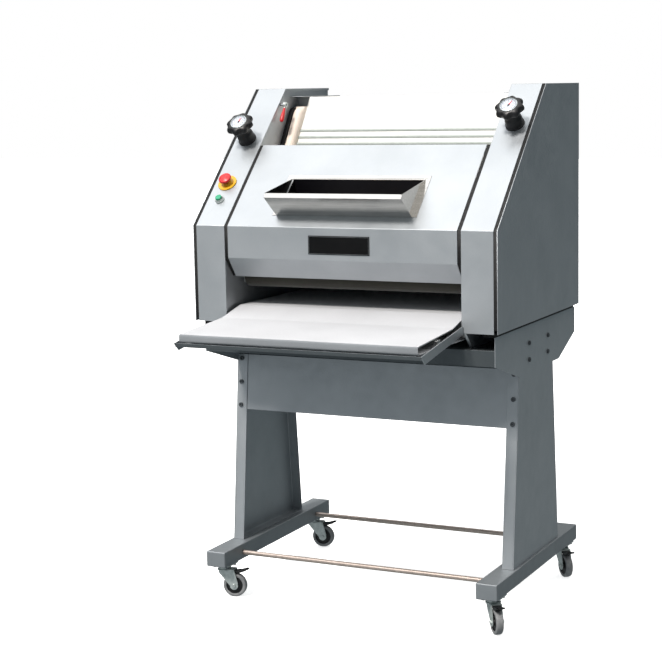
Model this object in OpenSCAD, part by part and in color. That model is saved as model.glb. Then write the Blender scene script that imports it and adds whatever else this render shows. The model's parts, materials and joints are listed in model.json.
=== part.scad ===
// Baguette moulder on a castored stand. Millimetres, +Z up, the outfeed faces -Y.
// The origin is on the floor, under the middle of the machine.
// Side views below are drawn as [distance behind the front face, height above the floor].

/* [Housing] */
// Width over the two side covers
housing_w = 980; // [940:1:1020]
// Depth from the front face to the rear panel
housing_d = 732; // [710:1:760]
// Height of the housing's lower edge
housing_z = 880; // [870:1:890]
// Height of the front face, up to its fold
face_h = 291; // [280:1:300]
// Lean of the sloped face from upright, in degrees
slope_deg = 46; // [44:0.5:48]
// Length of the sloped face
slope_len = 582; // [575:1:595]
// Width of a front strip with its seal and cover edge
strip_w = 109; // [104:1:114]
// Thickness of the cover sheets
sheet_t = 2; // [1.5:0.1:2.5]
// Width of the rubber seal beside a strip
seal_w = 10; // [7:0.5:12]
// Thickness of a side frame plate
frame_t = 8; // [6:0.5:10]
// Height of the open gap between base tray and housing
tray_gap = 50; // [44:1:56]
// Height of the base tray's rim
tray_h = 47; // [42:1:52]

/* [Hood and hopper] */
// Length of the hood along the slope
hood_len = 334; // [325:1:345]
// Height of the hood's front face
fascia_h = 96; // [88:1:104]
// Rearward reach of the hood's return lip
return_d = 45; // [38:1:52]
// Height of the return lip
return_h = 60; // [52:1:66]
// Width of a hood seal
hood_seal_w = 10.7; // [8:0.1:13]
// Width of the hopper inside
hopper_w = 436; // [420:1:450]
// Thickness of the hopper sheet
hopper_t = 1.5; // [1:0.1:2]
// Reach of the hopper's front edge before the front face
hopper_reach = 45; // [38:1:52]
// Height of the hopper's front lip
hopper_lip = 13; // [10:1:16]
// Width of the hopper's rim flange
rim_w = 14; // [10:1:18]
// Width of the plate on the front face
plate_w = 197; // [180:1:210]
// Height of the plate on the front face
plate_h = 55; // [48:1:62]

/* [Controls] */
// Distance of the left handwheel along the slope
wheel_left_s = 358; // [350:1:366]
// Distance of the right handwheel along the slope
wheel_right_s = 414; // [406:1:422]
// Diameter of a handwheel over its lobes
knob_d = 90; // [84:1:96]
// Thickness of a handwheel
knob_h = 30; // [26:1:34]
// Diameter of a handwheel's collar
collar_d = 58; // [52:1:64]
// Height of a handwheel's collar
collar_h = 50; // [44:1:56]
// Diameter of a handwheel spindle
spindle_d = 14; // [12:0.5:16]
// Diameter of a dial gauge
gauge_d = 54; // [50:1:58]
// Distance of the emergency stop along the slope
estop_s = 172; // [165:1:180]
// Diameter of the emergency stop's head
estop_d = 40; // [36:1:44]
// Travel of the emergency stop
estop_travel = 5; // [3:0.5:6]
// Distance of the start button along the slope
start_s = 103; // [96:1:110]
// Diameter of the start button
start_d = 20; // [18:0.5:22]
// Travel of the start button
start_travel = 4; // [3:0.5:5]

/* [Conveyors] */
// Height of the lower belt's inner run above the housing's lower edge
belt_rise = 45; // [40:1:48]
// Room between the lower belt's edge and a side frame
belt_side = 14; // [12:0.5:20]
// Thickness of the felt belts
belt_t = 3; // [2.5:0.1:3.5]
// Reach of the outfeed nose before the front face
nose_reach = 294; // [280:1:310]
// Height of the nose over its belt
nose_h = 25; // [23:0.5:27]
// Drop of the outfeed table below the inner run, at the nose
nose_drop = 41; // [38:1:44]
// Radius of the drive drum over its belt
drum_r = 40; // [38:0.5:42]
// Opening between the two belts
mould_gap = 52; // [46:1:56]
// Radius of the upper rollers over their belt
upper_r = 38; // [36:0.5:40]
// Radius of an infeed roller
infeed_r = 35; // [33:0.5:36]
// Opening between the infeed rollers
infeed_gap = 4; // [3:0.5:6]
// Diameter of the roller shafts
shaft_d = 25; // [22:0.5:27]
// Running clearance between a belt and what carries it
belt_clear = 0.3; // [0.2:0.05:0.4]

/* [Stand] */
// Wheel diameter of the casters
wheel_d = 75; // [70:1:80]
// Width of a caster tyre
tyre_w = 22; // [20:0.5:23]
// Trail of a caster
trail = 33; // [31:0.5:35]
// Width of a foot beam
beam_w = 66; // [60:1:70]
// Height of a foot beam
beam_h = 49; // [44:1:54]
// Wall of a foot beam
beam_wall = 3; // [2:0.1:4]
// Thickness of the leg sheet
leg_t = 2.5; // [2:0.1:3]
// Width of a leg's front and rear flanges
leg_flange = 36; // [32:1:40]
// Distance between a leg's outer face and the side cover's outer face
leg_inset = 17.5; // [15:0.5:20]
// Height of the apron between the legs
apron_h = 175; // [163:1:183]
// Diameter of the tie rods
rod_d = 15; // [12:0.5:18]
// Distance between the two tie rods
rod_pitch = 512; // [480:1:540]

/* [Hidden] */
$fn = 48;

// Colours of the finishes
paint = "#8d949b";
paint_dark = "#5d666c";
paint_light = "#d5d8da";
steel = "#b9bdc0";
zinc = "#c3c6c9";
rubber_black = "#1c1c1e";
felt = "#e6e0d2";
red = "#c8281e";

// Fits: radial room of a turning shaft, side room of a slide
run_clear = 0.05;
slide_clear = 0.1;
loose_clear = 0.3;

// Heights and widths that several pieces share
half_w = housing_w / 2;
cover_in = half_w - sheet_t;
seal_in = cover_in - seal_w;
strip_in = half_w - strip_w;
strip_lip = 6;
frame_in = strip_in + 5;
frame_out = frame_in + frame_t;
fold_z = housing_z + face_h;
top_y = slope_len * sin(slope_deg);
top_z = fold_z + slope_len * cos(slope_deg);
back_y = housing_d - sheet_t;
tray_z = housing_z - tray_gap;
seal_depth = 9;

// Casters: heights are stacked on the wheel
axle_z = wheel_d / 2;
axle_d = 8;
pedal_clear = 2.2;
pedal_z = wheel_d + pedal_clear + 3.3;
pedal_pin_d = 4;
crown_z = wheel_d + 10;
crown_t = 4;
boss_h = 13;
plate_t = 4;
caster_h = crown_z + crown_t + boss_h + plate_t;
king_d = 12;
plate_pitch = beam_w - 22;
plate_bolt_d = 8;
plate_hole_d = plate_bolt_d + 0.2;
plate_nut_d = 13;
plate_nut_h = 6;
race_d = 40;
crown_d = 46;
cheek_t = 2.5;
eye_r = 13;
fork_front = 16;
pedal_pivot = trail - 3;
pedal_tip = trail + 47;
pedal_trim = [30, 8, 40];
pedal_trim_turn = 40;
cheek_gap = tyre_w + 6;
beam_top = caster_h + beam_h;
// Each caster: name, hand, front or rear, and how far it stands swivelled, in degrees
caster_turn = [["fl", -1, 0, 12], ["fr", 1, 0, -52], ["rl", -1, 1, 12], ["rr", 1, 1, -48]];

// Stand: the legs stand on the beams and hold the base tray
leg_out = half_w - leg_inset;
leg_in = leg_out - leg_t;
beam_x = leg_out + 8.5 - beam_w / 2;
beam_y0 = 4;
beam_y1 = housing_d + 7;
caster_y0 = beam_y0 + 56;
caster_y1 = beam_y1 - 56;
head_z = tray_z + 38;
neck_z = tray_z - 106;
head_y0 = 25;
head_y1 = housing_d + 10;
leg_y0 = 165;
leg_y1 = housing_d - 158;
neck_y0 = leg_y0 + 57;
neck_y1 = leg_y1 - 47;
head_tail = 59;
head_rise = 5;
leg_lean = atan((neck_y0 - leg_y0) / (neck_z - beam_top));
tray_y0 = head_y0;
tray_y1 = housing_d + 3;
rod_z = caster_h + beam_h / 2 - 3.5;
rod_mid = (beam_y0 + beam_y1) / 2 + 8;
apron_drop = 85;
apron_z1 = tray_z - apron_drop;
apron_z0 = apron_z1 - apron_h;
apron_lip = 25;
bolt_d = 7.8;
bolt_hole_d = 8;
bolt_head_d = 14;
bolt_head_h = 4.5;
socket_d = 6;
socket_h = 3;
nut_d = 15;
nut_h = 7;
apron_bolt_x = leg_out - leg_flange / 2 + 2;
tongue_z = tray_z - 86;
tongue_flare = 50;
tongue_edge = 40;
head_bolts = [[308, tray_z - 17], [478, tray_z - 17], [308, tray_z - 67], [476, tray_z - 67]];
apron_bolts = [apron_z0 + 14, apron_z0 + apron_h / 2, apron_z1 - 14];

// Front of the origin: half of the depth from the tray's ears to the leg heads
ear_reach = nose_reach + 8;
front_y = (ear_reach - head_y1) / 2;

// Lower belt circles: [distance, height, radius], a negative radius bends the belt the other way
belt_z = housing_z + belt_rise;
nose_r = nose_h / 2;
hump_r = 30;
sag_r = 100;
nose_c = [nose_r - nose_reach, belt_z - nose_drop - nose_r, nose_r];
drum_c = [housing_d - 82, belt_z - drum_r, drum_r];
hump_c = [70, belt_z - hump_r, hump_r];
sag_c = [-60, belt_z - 27 + sag_r, -sag_r];
lower_loop = [nose_c, drum_c, hump_c, sag_c];
belt_w = 2 * (frame_in - belt_side);
bed_t = 3;
bed_ribs = [-180, 20, 400];
bed_rib_w = 20;
bed_w = belt_w - 8;
arm_t = 3;
arm_x = frame_in - arm_t;
arm_step_y = -10;
arm_rear_y = 440;
arm_under = 26;
arm_h = 24;
arm_top_z = belt_z - arm_under;
arm_clear = 0.5;
lip_depth = 100;
lip_gap = 4;
lip_h = 11;
tip_cut = 26;

// Upper conveyor: two rollers between the plates of a sliding carriage
upper_inset = 7;
upper_w = belt_w - 2 * upper_inset;
upper_z = belt_z + mould_gap + upper_r;
upper_front = [125, upper_z, upper_r];
upper_rear = [housing_d - 172, upper_z, upper_r];
upper_loop = [upper_front, upper_rear];
stub_d = 20;
carriage_x = upper_w / 2 + 6;
carriage_t = 6;
carriage_up = 20;
carriage_down = 35;
rail_half = 25;
ear_half = 30;
bridge_h = 14;
key_w = 20;
key_h = 24;
key_z = upper_z + 60;
keys = [300, 450];
guide_r = 115;
guide_low = 38;
guide_high = 85;

// Infeed rollers: the front one slides away from the rear one
infeed_z = fold_z - 21;
infeed_rear_y = 184;
infeed_y = infeed_rear_y - 2 * infeed_r - infeed_gap;
infeed_travel = 25;
roller_side = 18;
infeed_w = 2 * (frame_in - roller_side);
block = 60;
roller_wall = 5;
roller_end = 12;
roller_hole_d = 7;
block_t = 18;
rail_h = 10;

// Drive in the right-hand housing
pulley_gap = 20;
pulley_a_x = frame_out + pulley_gap;
pulley_w = 22;
pulley_b_x = pulley_a_x + pulley_w + 8;
drive_t = 6;
motor_c = [housing_d - 172, fold_z + 49, 30];
drum_pulley_r = 45;
link_r = 44;
motor_shaft_d = 24;
motor_bore = 60;
motor_w = 150;
gearbox_len = 100;
motor_len = 170;
fan_len = 60;
terminal_len = 80;
terminal_w = 70;
shaft_end = pulley_b_x + pulley_w;

// Hood: its hinge lies just inside its upper edge
hood_half = strip_in - hood_seal_w - loose_clear;
hinge_s = hood_len - 12;
hinge_h = 16;
hinge_d = 10;
lug_r = 11;
lug_t = 6;
hood_flange = 10;
hood_seal_h = 7;
seal_drop = 1;

// Hopper: front panel from the slope out to the front lip, rim on the hood
hopper_s0 = 45;
hopper_s1 = 193;
hopper_half = hopper_w / 2;
chute_inset = 5;
rim_gap = 0.05;
hopper_front_z = fold_z + 89;
plate_z = fold_z - 51;

// Controls stand square on the strips
control_x = (strip_in + half_w) / 2;
knob_z = collar_h + loose_clear;
knob_lobes = 8;
gauge_depth = 9;
spindle_len = 90;
disc_d = 60;
disc_h = 4;
barrel_d = 28;
barrel_len = 40;
stem_d = 10;
spigot_d = 8;
stem_top = 13;
estop_h = 30;
bezel_d = start_d + 9;
bezel_h = 10;
cap_h = 16;

// Top cover: a plate that leans less than the slope, with three ribs
cover_half = strip_in - 40;
cover_y = 409;
cover_rise = 229;
cover_z = fold_z + cover_rise;
cover_lean = 33.7;
cover_top_z = top_z - 28;
cover_rib_r = 3.5;
cover_ribs = [0, 24.6, 49.3];
cover_tail = 240;
cheek_front = 33;
cheek_rise = 184;
cheek_foot = fold_z + cheek_rise;
cheek_top = top_z - 58;
cheek_out = strip_in - 9;
cheek_sheet = 3;
cheek_bend = 42;
cheek_steps = 9;
cheek_seal_in = 2;
cheek_seal_t = 8;
ledge_y0 = 460;
ledge_y1 = back_y;
ledge_z = top_z - 25;

// Lever on the left side frame
lever_front = 32.65;
lever_y = top_y - lever_front;
lever_z = top_z - 51;
lever_len = 60;
lever_lean = 29;
lever_d = 8;
lever_reach = 19;
grip_len = 34;
grip_d = 15;

// Draws a side view as a solid between two distances across the machine.
module across(x0, x1) {
  translate([x0, 0, 0]) rotate([90, 0, 90]) linear_extrude(x1 - x0) children();
}

// Puts side-view coordinates into the frame of the part.
module seat() {
  translate([0, front_y, 0]) children();
}

// Turns the right-hand piece into the left-hand one where side is -1.
module hand(side) {
  mirror([side < 0 ? 1 : 0, 0, 0]) children();
}

// Draws a piece on both hands.
module both() {
  children();
  mirror([1, 0, 0]) children();
}

// A round bar across the machine at a side-view point.
module bar(at, d, x0, x1) {
  translate([x0, at[0], at[1]]) rotate([0, 90, 0]) cylinder(d = d, h = x1 - x0);
}

// A tool frame on the slope: x across, y up the slope, z square to it.
module on_slope(x, s) {
  translate([x, s * sin(slope_deg), fold_z + s * cos(slope_deg)]) rotate([90 - slope_deg, 0, 0]) children();
}

// A tool frame on the leaning front flange of the legs: z points out to the front.
module on_leg_front(x, z) {
  translate([x, leg_front(z), z]) rotate([90 - leg_lean, 0, 0]) children();
}

// Side-view point at distance s up the slope and h above it.
function slope_point(s, h) = [
  s * sin(slope_deg) - h * cos(slope_deg),
  fold_z + s * cos(slope_deg) + h * sin(slope_deg)
];

// Front and top line of the housing, set in by d.
function skin(d) = [
  [d, housing_z],
  [d, fold_z - d * tan(slope_deg / 2)],
  [top_y + d * tan(45 - slope_deg / 2), top_z - d],
  [back_y, top_z - d]
];

// Closed outline of the housing, set in by d on every side.
function outline(d) = [
  [d, housing_z + d],
  [d, fold_z - d * tan(slope_deg / 2)],
  [top_y + d * tan(45 - slope_deg / 2), top_z - d],
  [housing_d - d, top_z - d],
  [housing_d - d, housing_z + d]
];

// Front line of the hood, set in by d, from s on the slope down to its return lip.
function hood_line(d, s) = let (turn = atan(return_d / return_h)) [
  slope_point(s, -d),
  [d, fold_z - d * tan(slope_deg / 2)],
  [d, fold_z - fascia_h + d * tan(turn / 2)],
  [return_d + d * cos(turn), fold_z - fascia_h - return_h + d * sin(turn)]
];

// Front edge of a leg at height z.
function leg_front(z) = leg_y0 + (z - beam_top) * tan(leg_lean);

// Reverses a list of points.
function reversed(p) = [for (i = [len(p) - 1 : -1 : 0]) p[i]];

// Angle of the straight run's outward normal between two circles of a loop.
function run_normal(a, b) = let (d = [b[0] - a[0], b[1] - a[1]])
  atan2(d[1], d[0]) - acos((a[2] - b[2]) / norm(d));

// An angle brought into one turn.
function one_turn(a) = a - 360 * floor(a / 360);

// Outline of a belt round its circles, grown by g.
function loop_points(c, g, steps = 24) = [
  for (i = [0 : len(c) - 1])
    let (
      last = c[(i + len(c) - 1) % len(c)],
      next = c[(i + 1) % len(c)],
      a0 = run_normal(last, c[i]),
      a1 = run_normal(c[i], next),
      turn = c[i][2] > 0 ? one_turn(a1 - a0) : -one_turn(a0 - a1)
    )
    for (k = [0 : steps])
      let (a = a0 + turn * k / steps)
        [c[i][0] + (c[i][2] + g) * cos(a), c[i][1] + (c[i][2] + g) * sin(a)]
];

// Side view of a belt of thickness t round its circles.
module belt_loop(c, t) {
  difference() {
    polygon(loop_points(c, 0));
    polygon(loop_points(c, -t));
  }
}

// Stand

module leg(side) {
  color(paint) seat() hand(side) difference() {
    union() {
      across(leg_in, leg_out) polygon([
        [head_y0, head_z], [head_y0, tray_z - tray_h], [neck_y0, neck_z],
        [leg_y0, beam_top], [leg_y1, beam_top], [neck_y1, neck_z],
        [neck_y1 + head_tail, neck_z], [head_y1, tray_z - tray_h + head_rise], [head_y1, head_z]
      ]);
      across(leg_out - leg_flange, leg_in) polygon([
        [leg_y0, beam_top], [leg_y0 + leg_t, beam_top],
        [leg_front(apron_z1) + leg_t, apron_z1], [leg_front(apron_z1), apron_z1]
      ]);
      across(leg_out - leg_flange, leg_in) polygon([
        [leg_y1, beam_top], [neck_y1, neck_z], [neck_y1 - leg_t, neck_z], [leg_y1 - leg_t, beam_top]
      ]);
      across(leg_out - leg_flange, leg_in)
        translate([leg_y0 + leg_t, beam_top]) square([leg_y1 - leg_y0 - 2 * leg_t, leg_t]);
    }
    for (p = head_bolts) bar(p, bolt_hole_d, leg_in - leg_t, leg_out + leg_t);
    for (z = apron_bolts)
      on_leg_front(apron_bolt_x, z) cylinder(d = bolt_hole_d, h = 4 * leg_t, center = true);
  }
}

module front_apron() {
  back = leg_t / cos(leg_lean);
  color(paint) seat() difference() {
    across(-leg_in + 1, leg_in - 1) polygon([
      [leg_front(apron_z0) + leg_t, apron_z0],
      [leg_front(apron_z1) + leg_t, apron_z1],
      [leg_front(apron_z1) + leg_t + apron_lip, apron_z1],
      [leg_front(apron_z1) + leg_t + apron_lip, apron_z1 - sheet_t],
      [leg_front(apron_z1 - sheet_t) + leg_t + sheet_t, apron_z1 - sheet_t],
      [leg_front(apron_z0 + sheet_t) + leg_t + sheet_t, apron_z0 + sheet_t],
      [leg_front(apron_z0) + leg_t + apron_lip, apron_z0 + sheet_t],
      [leg_front(apron_z0) + leg_t + apron_lip, apron_z0]
    ]);
    both()
      for (z = apron_bolts)
        on_leg_front(apron_bolt_x, z)
          cylinder(d = bolt_hole_d, h = 4 * (back + sheet_t), center = true);
  }
}

// The four bolt places of a caster plate, round its swivel axis.
module at_plate_bolts() {
  for (x = [-1, 1])
    for (y = [-1, 1])
      translate([x * plate_pitch / 2, y * plate_pitch / 2, 0]) children();
}

module foot_beams() {
  color(paint) seat() both() difference() {
    translate([beam_x - beam_w / 2, beam_y0, caster_h]) cube([beam_w, beam_y1 - beam_y0, beam_h]);
    translate([beam_x - beam_w / 2 + beam_wall, beam_y0 + beam_wall, caster_h + beam_wall])
      cube([beam_w - 2 * beam_wall, beam_y1 - beam_y0 - 2 * beam_wall, beam_h - 2 * beam_wall]);
    for (y = [caster_y0, caster_y1])
      translate([beam_x, y, caster_h - 1]) at_plate_bolts()
        cylinder(d = plate_hole_d, h = beam_wall + 2);
  }
}

module tie_rods() {
  reach = beam_x - beam_w / 2;
  color(steel) seat()
    for (side = [-1, 1])
      bar([rod_mid + side * rod_pitch / 2, rod_z], rod_d, -reach, reach);
}

// A socket-head bolt with its nut: z = 0 is the face under its head.
module socket_bolt(grip) {
  difference() {
    cylinder(d = bolt_head_d, h = bolt_head_h);
    translate([0, 0, bolt_head_h - socket_h]) cylinder(d = socket_d, h = bolt_head_h, $fn = 6);
  }
  translate([0, 0, -grip - nut_h - 1]) cylinder(d = bolt_d, h = grip + nut_h + 1 + bolt_head_h - socket_h);
  translate([0, 0, -grip - nut_h]) cylinder(d = nut_d, h = nut_h, $fn = 6);
}

module stand_bolts() {
  color(zinc) seat() both() {
    for (p = head_bolts) translate([leg_out, p[0], p[1]]) rotate([0, 90, 0]) socket_bolt(leg_t + sheet_t);
    for (z = apron_bolts)
      on_leg_front(apron_bolt_x, z) socket_bolt((leg_t + sheet_t) * cos(leg_lean));
    for (y = [caster_y0, caster_y1])
      translate([beam_x, y, caster_h - plate_t]) at_plate_bolts() {
        translate([0, 0, -plate_nut_h]) cylinder(d = plate_nut_d, h = plate_nut_h, $fn = 6);
        translate([0, 0, -1]) cylinder(d = plate_bolt_d, h = plate_t + beam_wall + plate_nut_h + 2);
        translate([0, 0, plate_t + beam_wall]) cylinder(d = plate_nut_d, h = plate_nut_h, $fn = 6);
      }
  }
}

// Casters: x trails behind the swivel axis, z is the height above the floor

module at_caster(c) {
  translate([c[1] * beam_x, c[2] == 0 ? caster_y0 : caster_y1, 0]) rotate([0, 0, c[3]]) children();
}

// Draws a caster's side view as a solid, centred on its wheel.
module along_caster(w) {
  translate([0, w / 2, 0]) rotate([90, 0, 0]) linear_extrude(w) children();
}

module caster_plates() {
  plate_w0 = beam_w - 4;
  color(zinc) seat()
    for (c = caster_turn)
      translate([c[1] * beam_x, c[2] == 0 ? caster_y0 : caster_y1, 0]) {
        difference() {
          translate([-plate_w0 / 2, -plate_w0 / 2, caster_h - plate_t]) cube([plate_w0, plate_w0, plate_t]);
          translate([0, 0, caster_h - plate_t - 1]) at_plate_bolts()
            cylinder(d = plate_hole_d, h = plate_t + 2);
        }
        translate([0, 0, crown_z + crown_t + slide_clear]) cylinder(d = race_d, h = boss_h);
        translate([0, 0, crown_z - loose_clear - 1]) cylinder(d = king_d, h = crown_t + boss_h);
        translate([0, 0, crown_z - loose_clear - 3]) cylinder(d = king_d + 6, h = 3);
      }
}

module caster_fork(c) {
  crown_w = cheek_gap + 2 * cheek_t;
  color(zinc) seat() at_caster(c) difference() {
    union() {
      translate([0, 0, crown_z]) cylinder(d = crown_d, h = crown_t);
      translate([0, -crown_w / 2, crown_z]) cube([trail + 1, crown_w, crown_t]);
      for (side = [-1, 1])
        translate([0, side * (cheek_gap + cheek_t) / 2, 0]) along_caster(cheek_t) {
          polygon([
            [-fork_front, crown_z + crown_t], [-fork_front, crown_z - 6], [trail - eye_r + 1, axle_z - 2],
            [trail + eye_r - 1, axle_z - 2], [trail + eye_r, axle_z + 8], [trail + 1, crown_z + crown_t]
          ]);
          translate([trail, axle_z]) circle(r = eye_r);
        }
      translate([trail, 0, axle_z]) rotate([90, 0, 0]) cylinder(d = axle_d, h = crown_w + 6, center = true);
      translate([pedal_pivot, 0, pedal_z]) rotate([90, 0, 0])
        cylinder(d = pedal_pin_d, h = crown_w + 2, center = true);
    }
    translate([0, 0, crown_z - 1]) cylinder(d = king_d + 2 * run_clear, h = crown_t + 2);
  }
}

module caster_wheel(c) {
  hub_w = cheek_gap / 2 - loose_clear;
  tyre = tyre_w / 2;
  rim = axle_z - 10.5;
  color("#8b8d90") seat() at_caster(c) translate([trail, 0, axle_z]) rotate([90, 0, 0])
    rotate_extrude() polygon([
      [axle_d / 2 + run_clear, -hub_w], [10, -hub_w], [12, 3 - tyre], [rim - 1, 3 - tyre], [rim, -tyre],
      [axle_z - 3, -tyre], [axle_z, 3 - tyre], [axle_z, tyre - 3], [axle_z - 3, tyre],
      [rim, tyre], [rim - 1, tyre - 3], [12, tyre - 3], [10, hub_w], [axle_d / 2 + run_clear, hub_w]
    ]);
}

module brake_pedal(c) {
  low = wheel_d + pedal_clear;
  high = pedal_z + 3.2;
  pedal_w = cheek_gap - 2;
  color(rubber_black) seat() at_caster(c) difference() {
    along_caster(pedal_w)
      polygon([
        [pedal_pivot - 5, low], [pedal_pivot + 20, low], [pedal_tip - 3, low - 3], [pedal_tip, low - 1],
        [pedal_tip, low + 2], [pedal_pivot + 23, high], [pedal_pivot - 5, high]
      ]);
    translate([pedal_pivot, 0, pedal_z]) rotate([90, 0, 0])
      cylinder(d = pedal_pin_d + 2 * run_clear, h = pedal_w + 2, center = true);
    for (side = [-1, 1])
      translate([pedal_tip, side * pedal_w / 2, pedal_z]) rotate([0, 0, side * pedal_trim_turn])
        cube(pedal_trim, center = true);
  }
}

// Housing

module base_tray() {
  tongue_y0 = head_bolts[0][0] - tongue_edge;
  tongue_y1 = head_bolts[1][0] + tongue_edge;
  color(paint_dark) seat() difference() {
    union() {
      translate([-leg_in, tray_y0, tray_z - sheet_t]) cube([2 * leg_in, tray_y1 - tray_y0, sheet_t]);
      for (y = [tray_y0, tray_y1 - sheet_t])
        translate([-leg_in, y, tray_z - tray_h]) cube([2 * leg_in, sheet_t, tray_h]);
      both()
        across(leg_in - sheet_t, leg_in) polygon([
          [tray_y0, tray_z], [tray_y0, tray_z - tray_h], [tongue_y0 - tongue_flare, tray_z - tray_h],
          [tongue_y0, tongue_z], [tongue_y1, tongue_z],
          [tongue_y1 + tongue_flare, tray_z - tray_h], [tray_y1, tray_z - tray_h], [tray_y1, tray_z]
        ]);
    }
    both()
      for (p = head_bolts) bar(p, bolt_hole_d, leg_in - 2 * sheet_t, leg_out);
  }
}

module side_frame(side) {
  foot_y = tray_y0 + 27;
  shaft_hole = shaft_d + 2 * run_clear;
  color(paint_dark) seat() hand(side) {
    difference() {
      across(frame_in, frame_out) difference() {
        polygon(concat(
          [[foot_y, tray_z], [sheet_t, housing_z]],
          [skin(sheet_t)[1], skin(sheet_t)[2], skin(sheet_t)[3]],
          [[back_y, tray_z]]
        ));
        translate([infeed_rear_y, infeed_z]) circle(d = shaft_hole);
        translate([infeed_y - infeed_travel, infeed_z - shaft_d / 2 - 1])
          square([infeed_travel, shaft_d + 2]);
        for (y = [infeed_y - infeed_travel, infeed_y]) translate([y, infeed_z]) circle(r = shaft_d / 2 + 1);
        translate([drum_c[0], drum_c[1]]) circle(d = shaft_hole);
        if (side > 0) translate([motor_c[0], motor_c[1]]) circle(d = motor_shaft_d + 6);
      }
    }
    bar(slope_point(hinge_s, -hinge_h), hinge_d, hood_half - 2 * lug_t, frame_in);
    for (z = [block / 2 + slide_clear, -block / 2 - slide_clear - rail_h])
      translate([frame_out, infeed_y - block / 2 - infeed_travel, infeed_z + z])
        cube([block_t, block + infeed_travel, rail_h]);
    for (y = keys)
      translate([carriage_x + 1, y - key_w / 2, key_z - key_h / 2])
        cube([frame_in - carriage_x - 1, key_w, key_h]);
    across(cover_half, frame_in) {
      translate([ledge_y0, ledge_z - sheet_t]) square([ledge_y1 - ledge_y0, sheet_t]);
      translate([cover_line(ledge_z), cheek_top]) square([sheet_t, ledge_z - cheek_top]);
    }
    if (side < 0) bar([lever_y, lever_z], lever_d, frame_in - lever_reach - 3, frame_in);
  }
}

module rear_guide() {
  centre = [upper_rear[0], upper_z - 10];
  color(steel) seat() across(-frame_in, frame_in) translate(centre) intersection() {
    difference() {
      circle(r = guide_r + sheet_t, $fn = 96);
      circle(r = guide_r, $fn = 96);
    }
    polygon([
      [0, 0], 2 * guide_r * [cos(guide_low), -sin(guide_low)], [2 * guide_r, 0],
      2 * guide_r * [1, 1], 2 * guide_r * [cos(guide_high), sin(guide_high)]
    ]);
  }
}

module rear_panel() {
  color(paint) seat() difference() {
    translate([-cover_in, back_y, housing_z]) cube([2 * cover_in, sheet_t, top_z - housing_z]);
    translate([-cover_half, back_y - 1, cover_top_z - sheet_t])
      cube([2 * cover_half, sheet_t + 2, top_z - cover_top_z + 2 * sheet_t]);
    translate([-frame_in, back_y - 1, ledge_z]) cube([2 * frame_in, sheet_t + 2, top_z - ledge_z + 1]);
  }
}

module front_strip(side) {
  color(paint) seat() hand(side) difference() {
    union() {
      across(strip_in, seal_in) polygon(concat(skin(0), reversed(skin(sheet_t))));
      across(strip_in, strip_in + sheet_t)
        polygon(concat(skin(sheet_t), reversed(skin(sheet_t + strip_lip))));
    }
    on_slope(control_x, side < 0 ? wheel_left_s : wheel_right_s)
      cylinder(d = spindle_d + 4, h = 6 * sheet_t, center = true);
    translate([arm_x - arm_clear, -1, housing_z - 1])
      cube([arm_t + 2 * arm_clear, sheet_t + strip_lip + 2, arm_top_z + arm_clear - housing_z + 1]);
    if (side < 0) {
      on_slope(control_x, estop_s) cylinder(d = barrel_d, h = 6 * sheet_t, center = true);
      on_slope(control_x, start_s) cylinder(d = bezel_d - 4, h = 6 * sheet_t, center = true);
    }
  }
}

module side_cover(side) {
  rim = sheet_t + seal_depth;
  color(paint) seat() hand(side) {
    across(cover_in, half_w) polygon(outline(0));
    across(seal_in - 8, cover_in) difference() {
      polygon(outline(rim));
      polygon(outline(rim + sheet_t));
    }
  }
}

module cover_seals() {
  strip_z = cheek_top - cheek_seal_in;
  strip_y = cover_line(ledge_z);
  color(rubber_black) seat() both() {
    across(seal_in - 8, cover_in) difference() {
      polygon(concat(skin(sheet_t), reversed(skin(sheet_t + seal_depth))));
      translate([-1, 0]) square([housing_d, housing_z + sheet_t + seal_depth]);
    }
    across(cheek_out, frame_in) polygon(concat(
      cheek_line(cheek_seal_in), [[strip_y, strip_z], [strip_y, strip_z - cheek_seal_t]],
      reversed(cheek_line(cheek_seal_in + cheek_seal_t))
    ));
  }
}

// Point on the top cover's leaning face, t up from its lowest rib and h above it.
function cover_point(t, h) = [
  cover_y + t * sin(cover_lean) - h * cos(cover_lean),
  cover_z + t * cos(cover_lean) + h * sin(cover_lean)
];

// Distance behind the front of the top cover's leaning face at height z.
function cover_line(z) = cover_y + (z - cover_z) * tan(cover_lean);

// Front line of a cheek, set in by d, from its foot round its rounded top.
function cheek_line(d) = let (
  corner_y = cover_line(cheek_top) - cheek_front,
  centre = [corner_y + cheek_bend * tan(45 - cover_lean / 2), cheek_top - cheek_bend]
) concat(
  [[cover_line(cheek_foot) - cheek_front, cheek_foot] + d * [cos(cover_lean), -sin(cover_lean)]],
  [for (i = [0 : cheek_steps])
    let (a = 180 - cover_lean - i * (90 - cover_lean) / cheek_steps)
      centre + (cheek_bend - d) * [cos(a), sin(a)]]
);

module top_cover() {
  rise = (cover_top_z - cover_z) / cos(cover_lean);
  bend = tan(45 - cover_lean / 2);
  color("#f2f2ef") seat() {
    across(-cover_half, cover_half) polygon([
      cover_point(-cover_tail, 0),
      cover_point(rise, 0),
      [housing_d, cover_top_z],
      [housing_d, cover_top_z - sheet_t],
      cover_point(rise, 0) + sheet_t * [bend, -1],
      cover_point(-cover_tail, -sheet_t)
    ]);
    for (t = cover_ribs) bar(cover_point(t, 0), 2 * cover_rib_r, -cover_half + 12, cover_half - 12);
  }
}

module cover_cheeks() {
  back = sheet_t / cos(cover_lean);
  under = cheek_top - cheek_sheet;
  color(felt) seat() both() across(cover_half, cheek_out) polygon(concat(
    cheek_line(0),
    [[ledge_y1, cheek_top], [ledge_y1, under]],
    [[cover_line(under) + back, under], [cover_line(cheek_foot) + back, cheek_foot]]
  ));
}

// Hood

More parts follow.
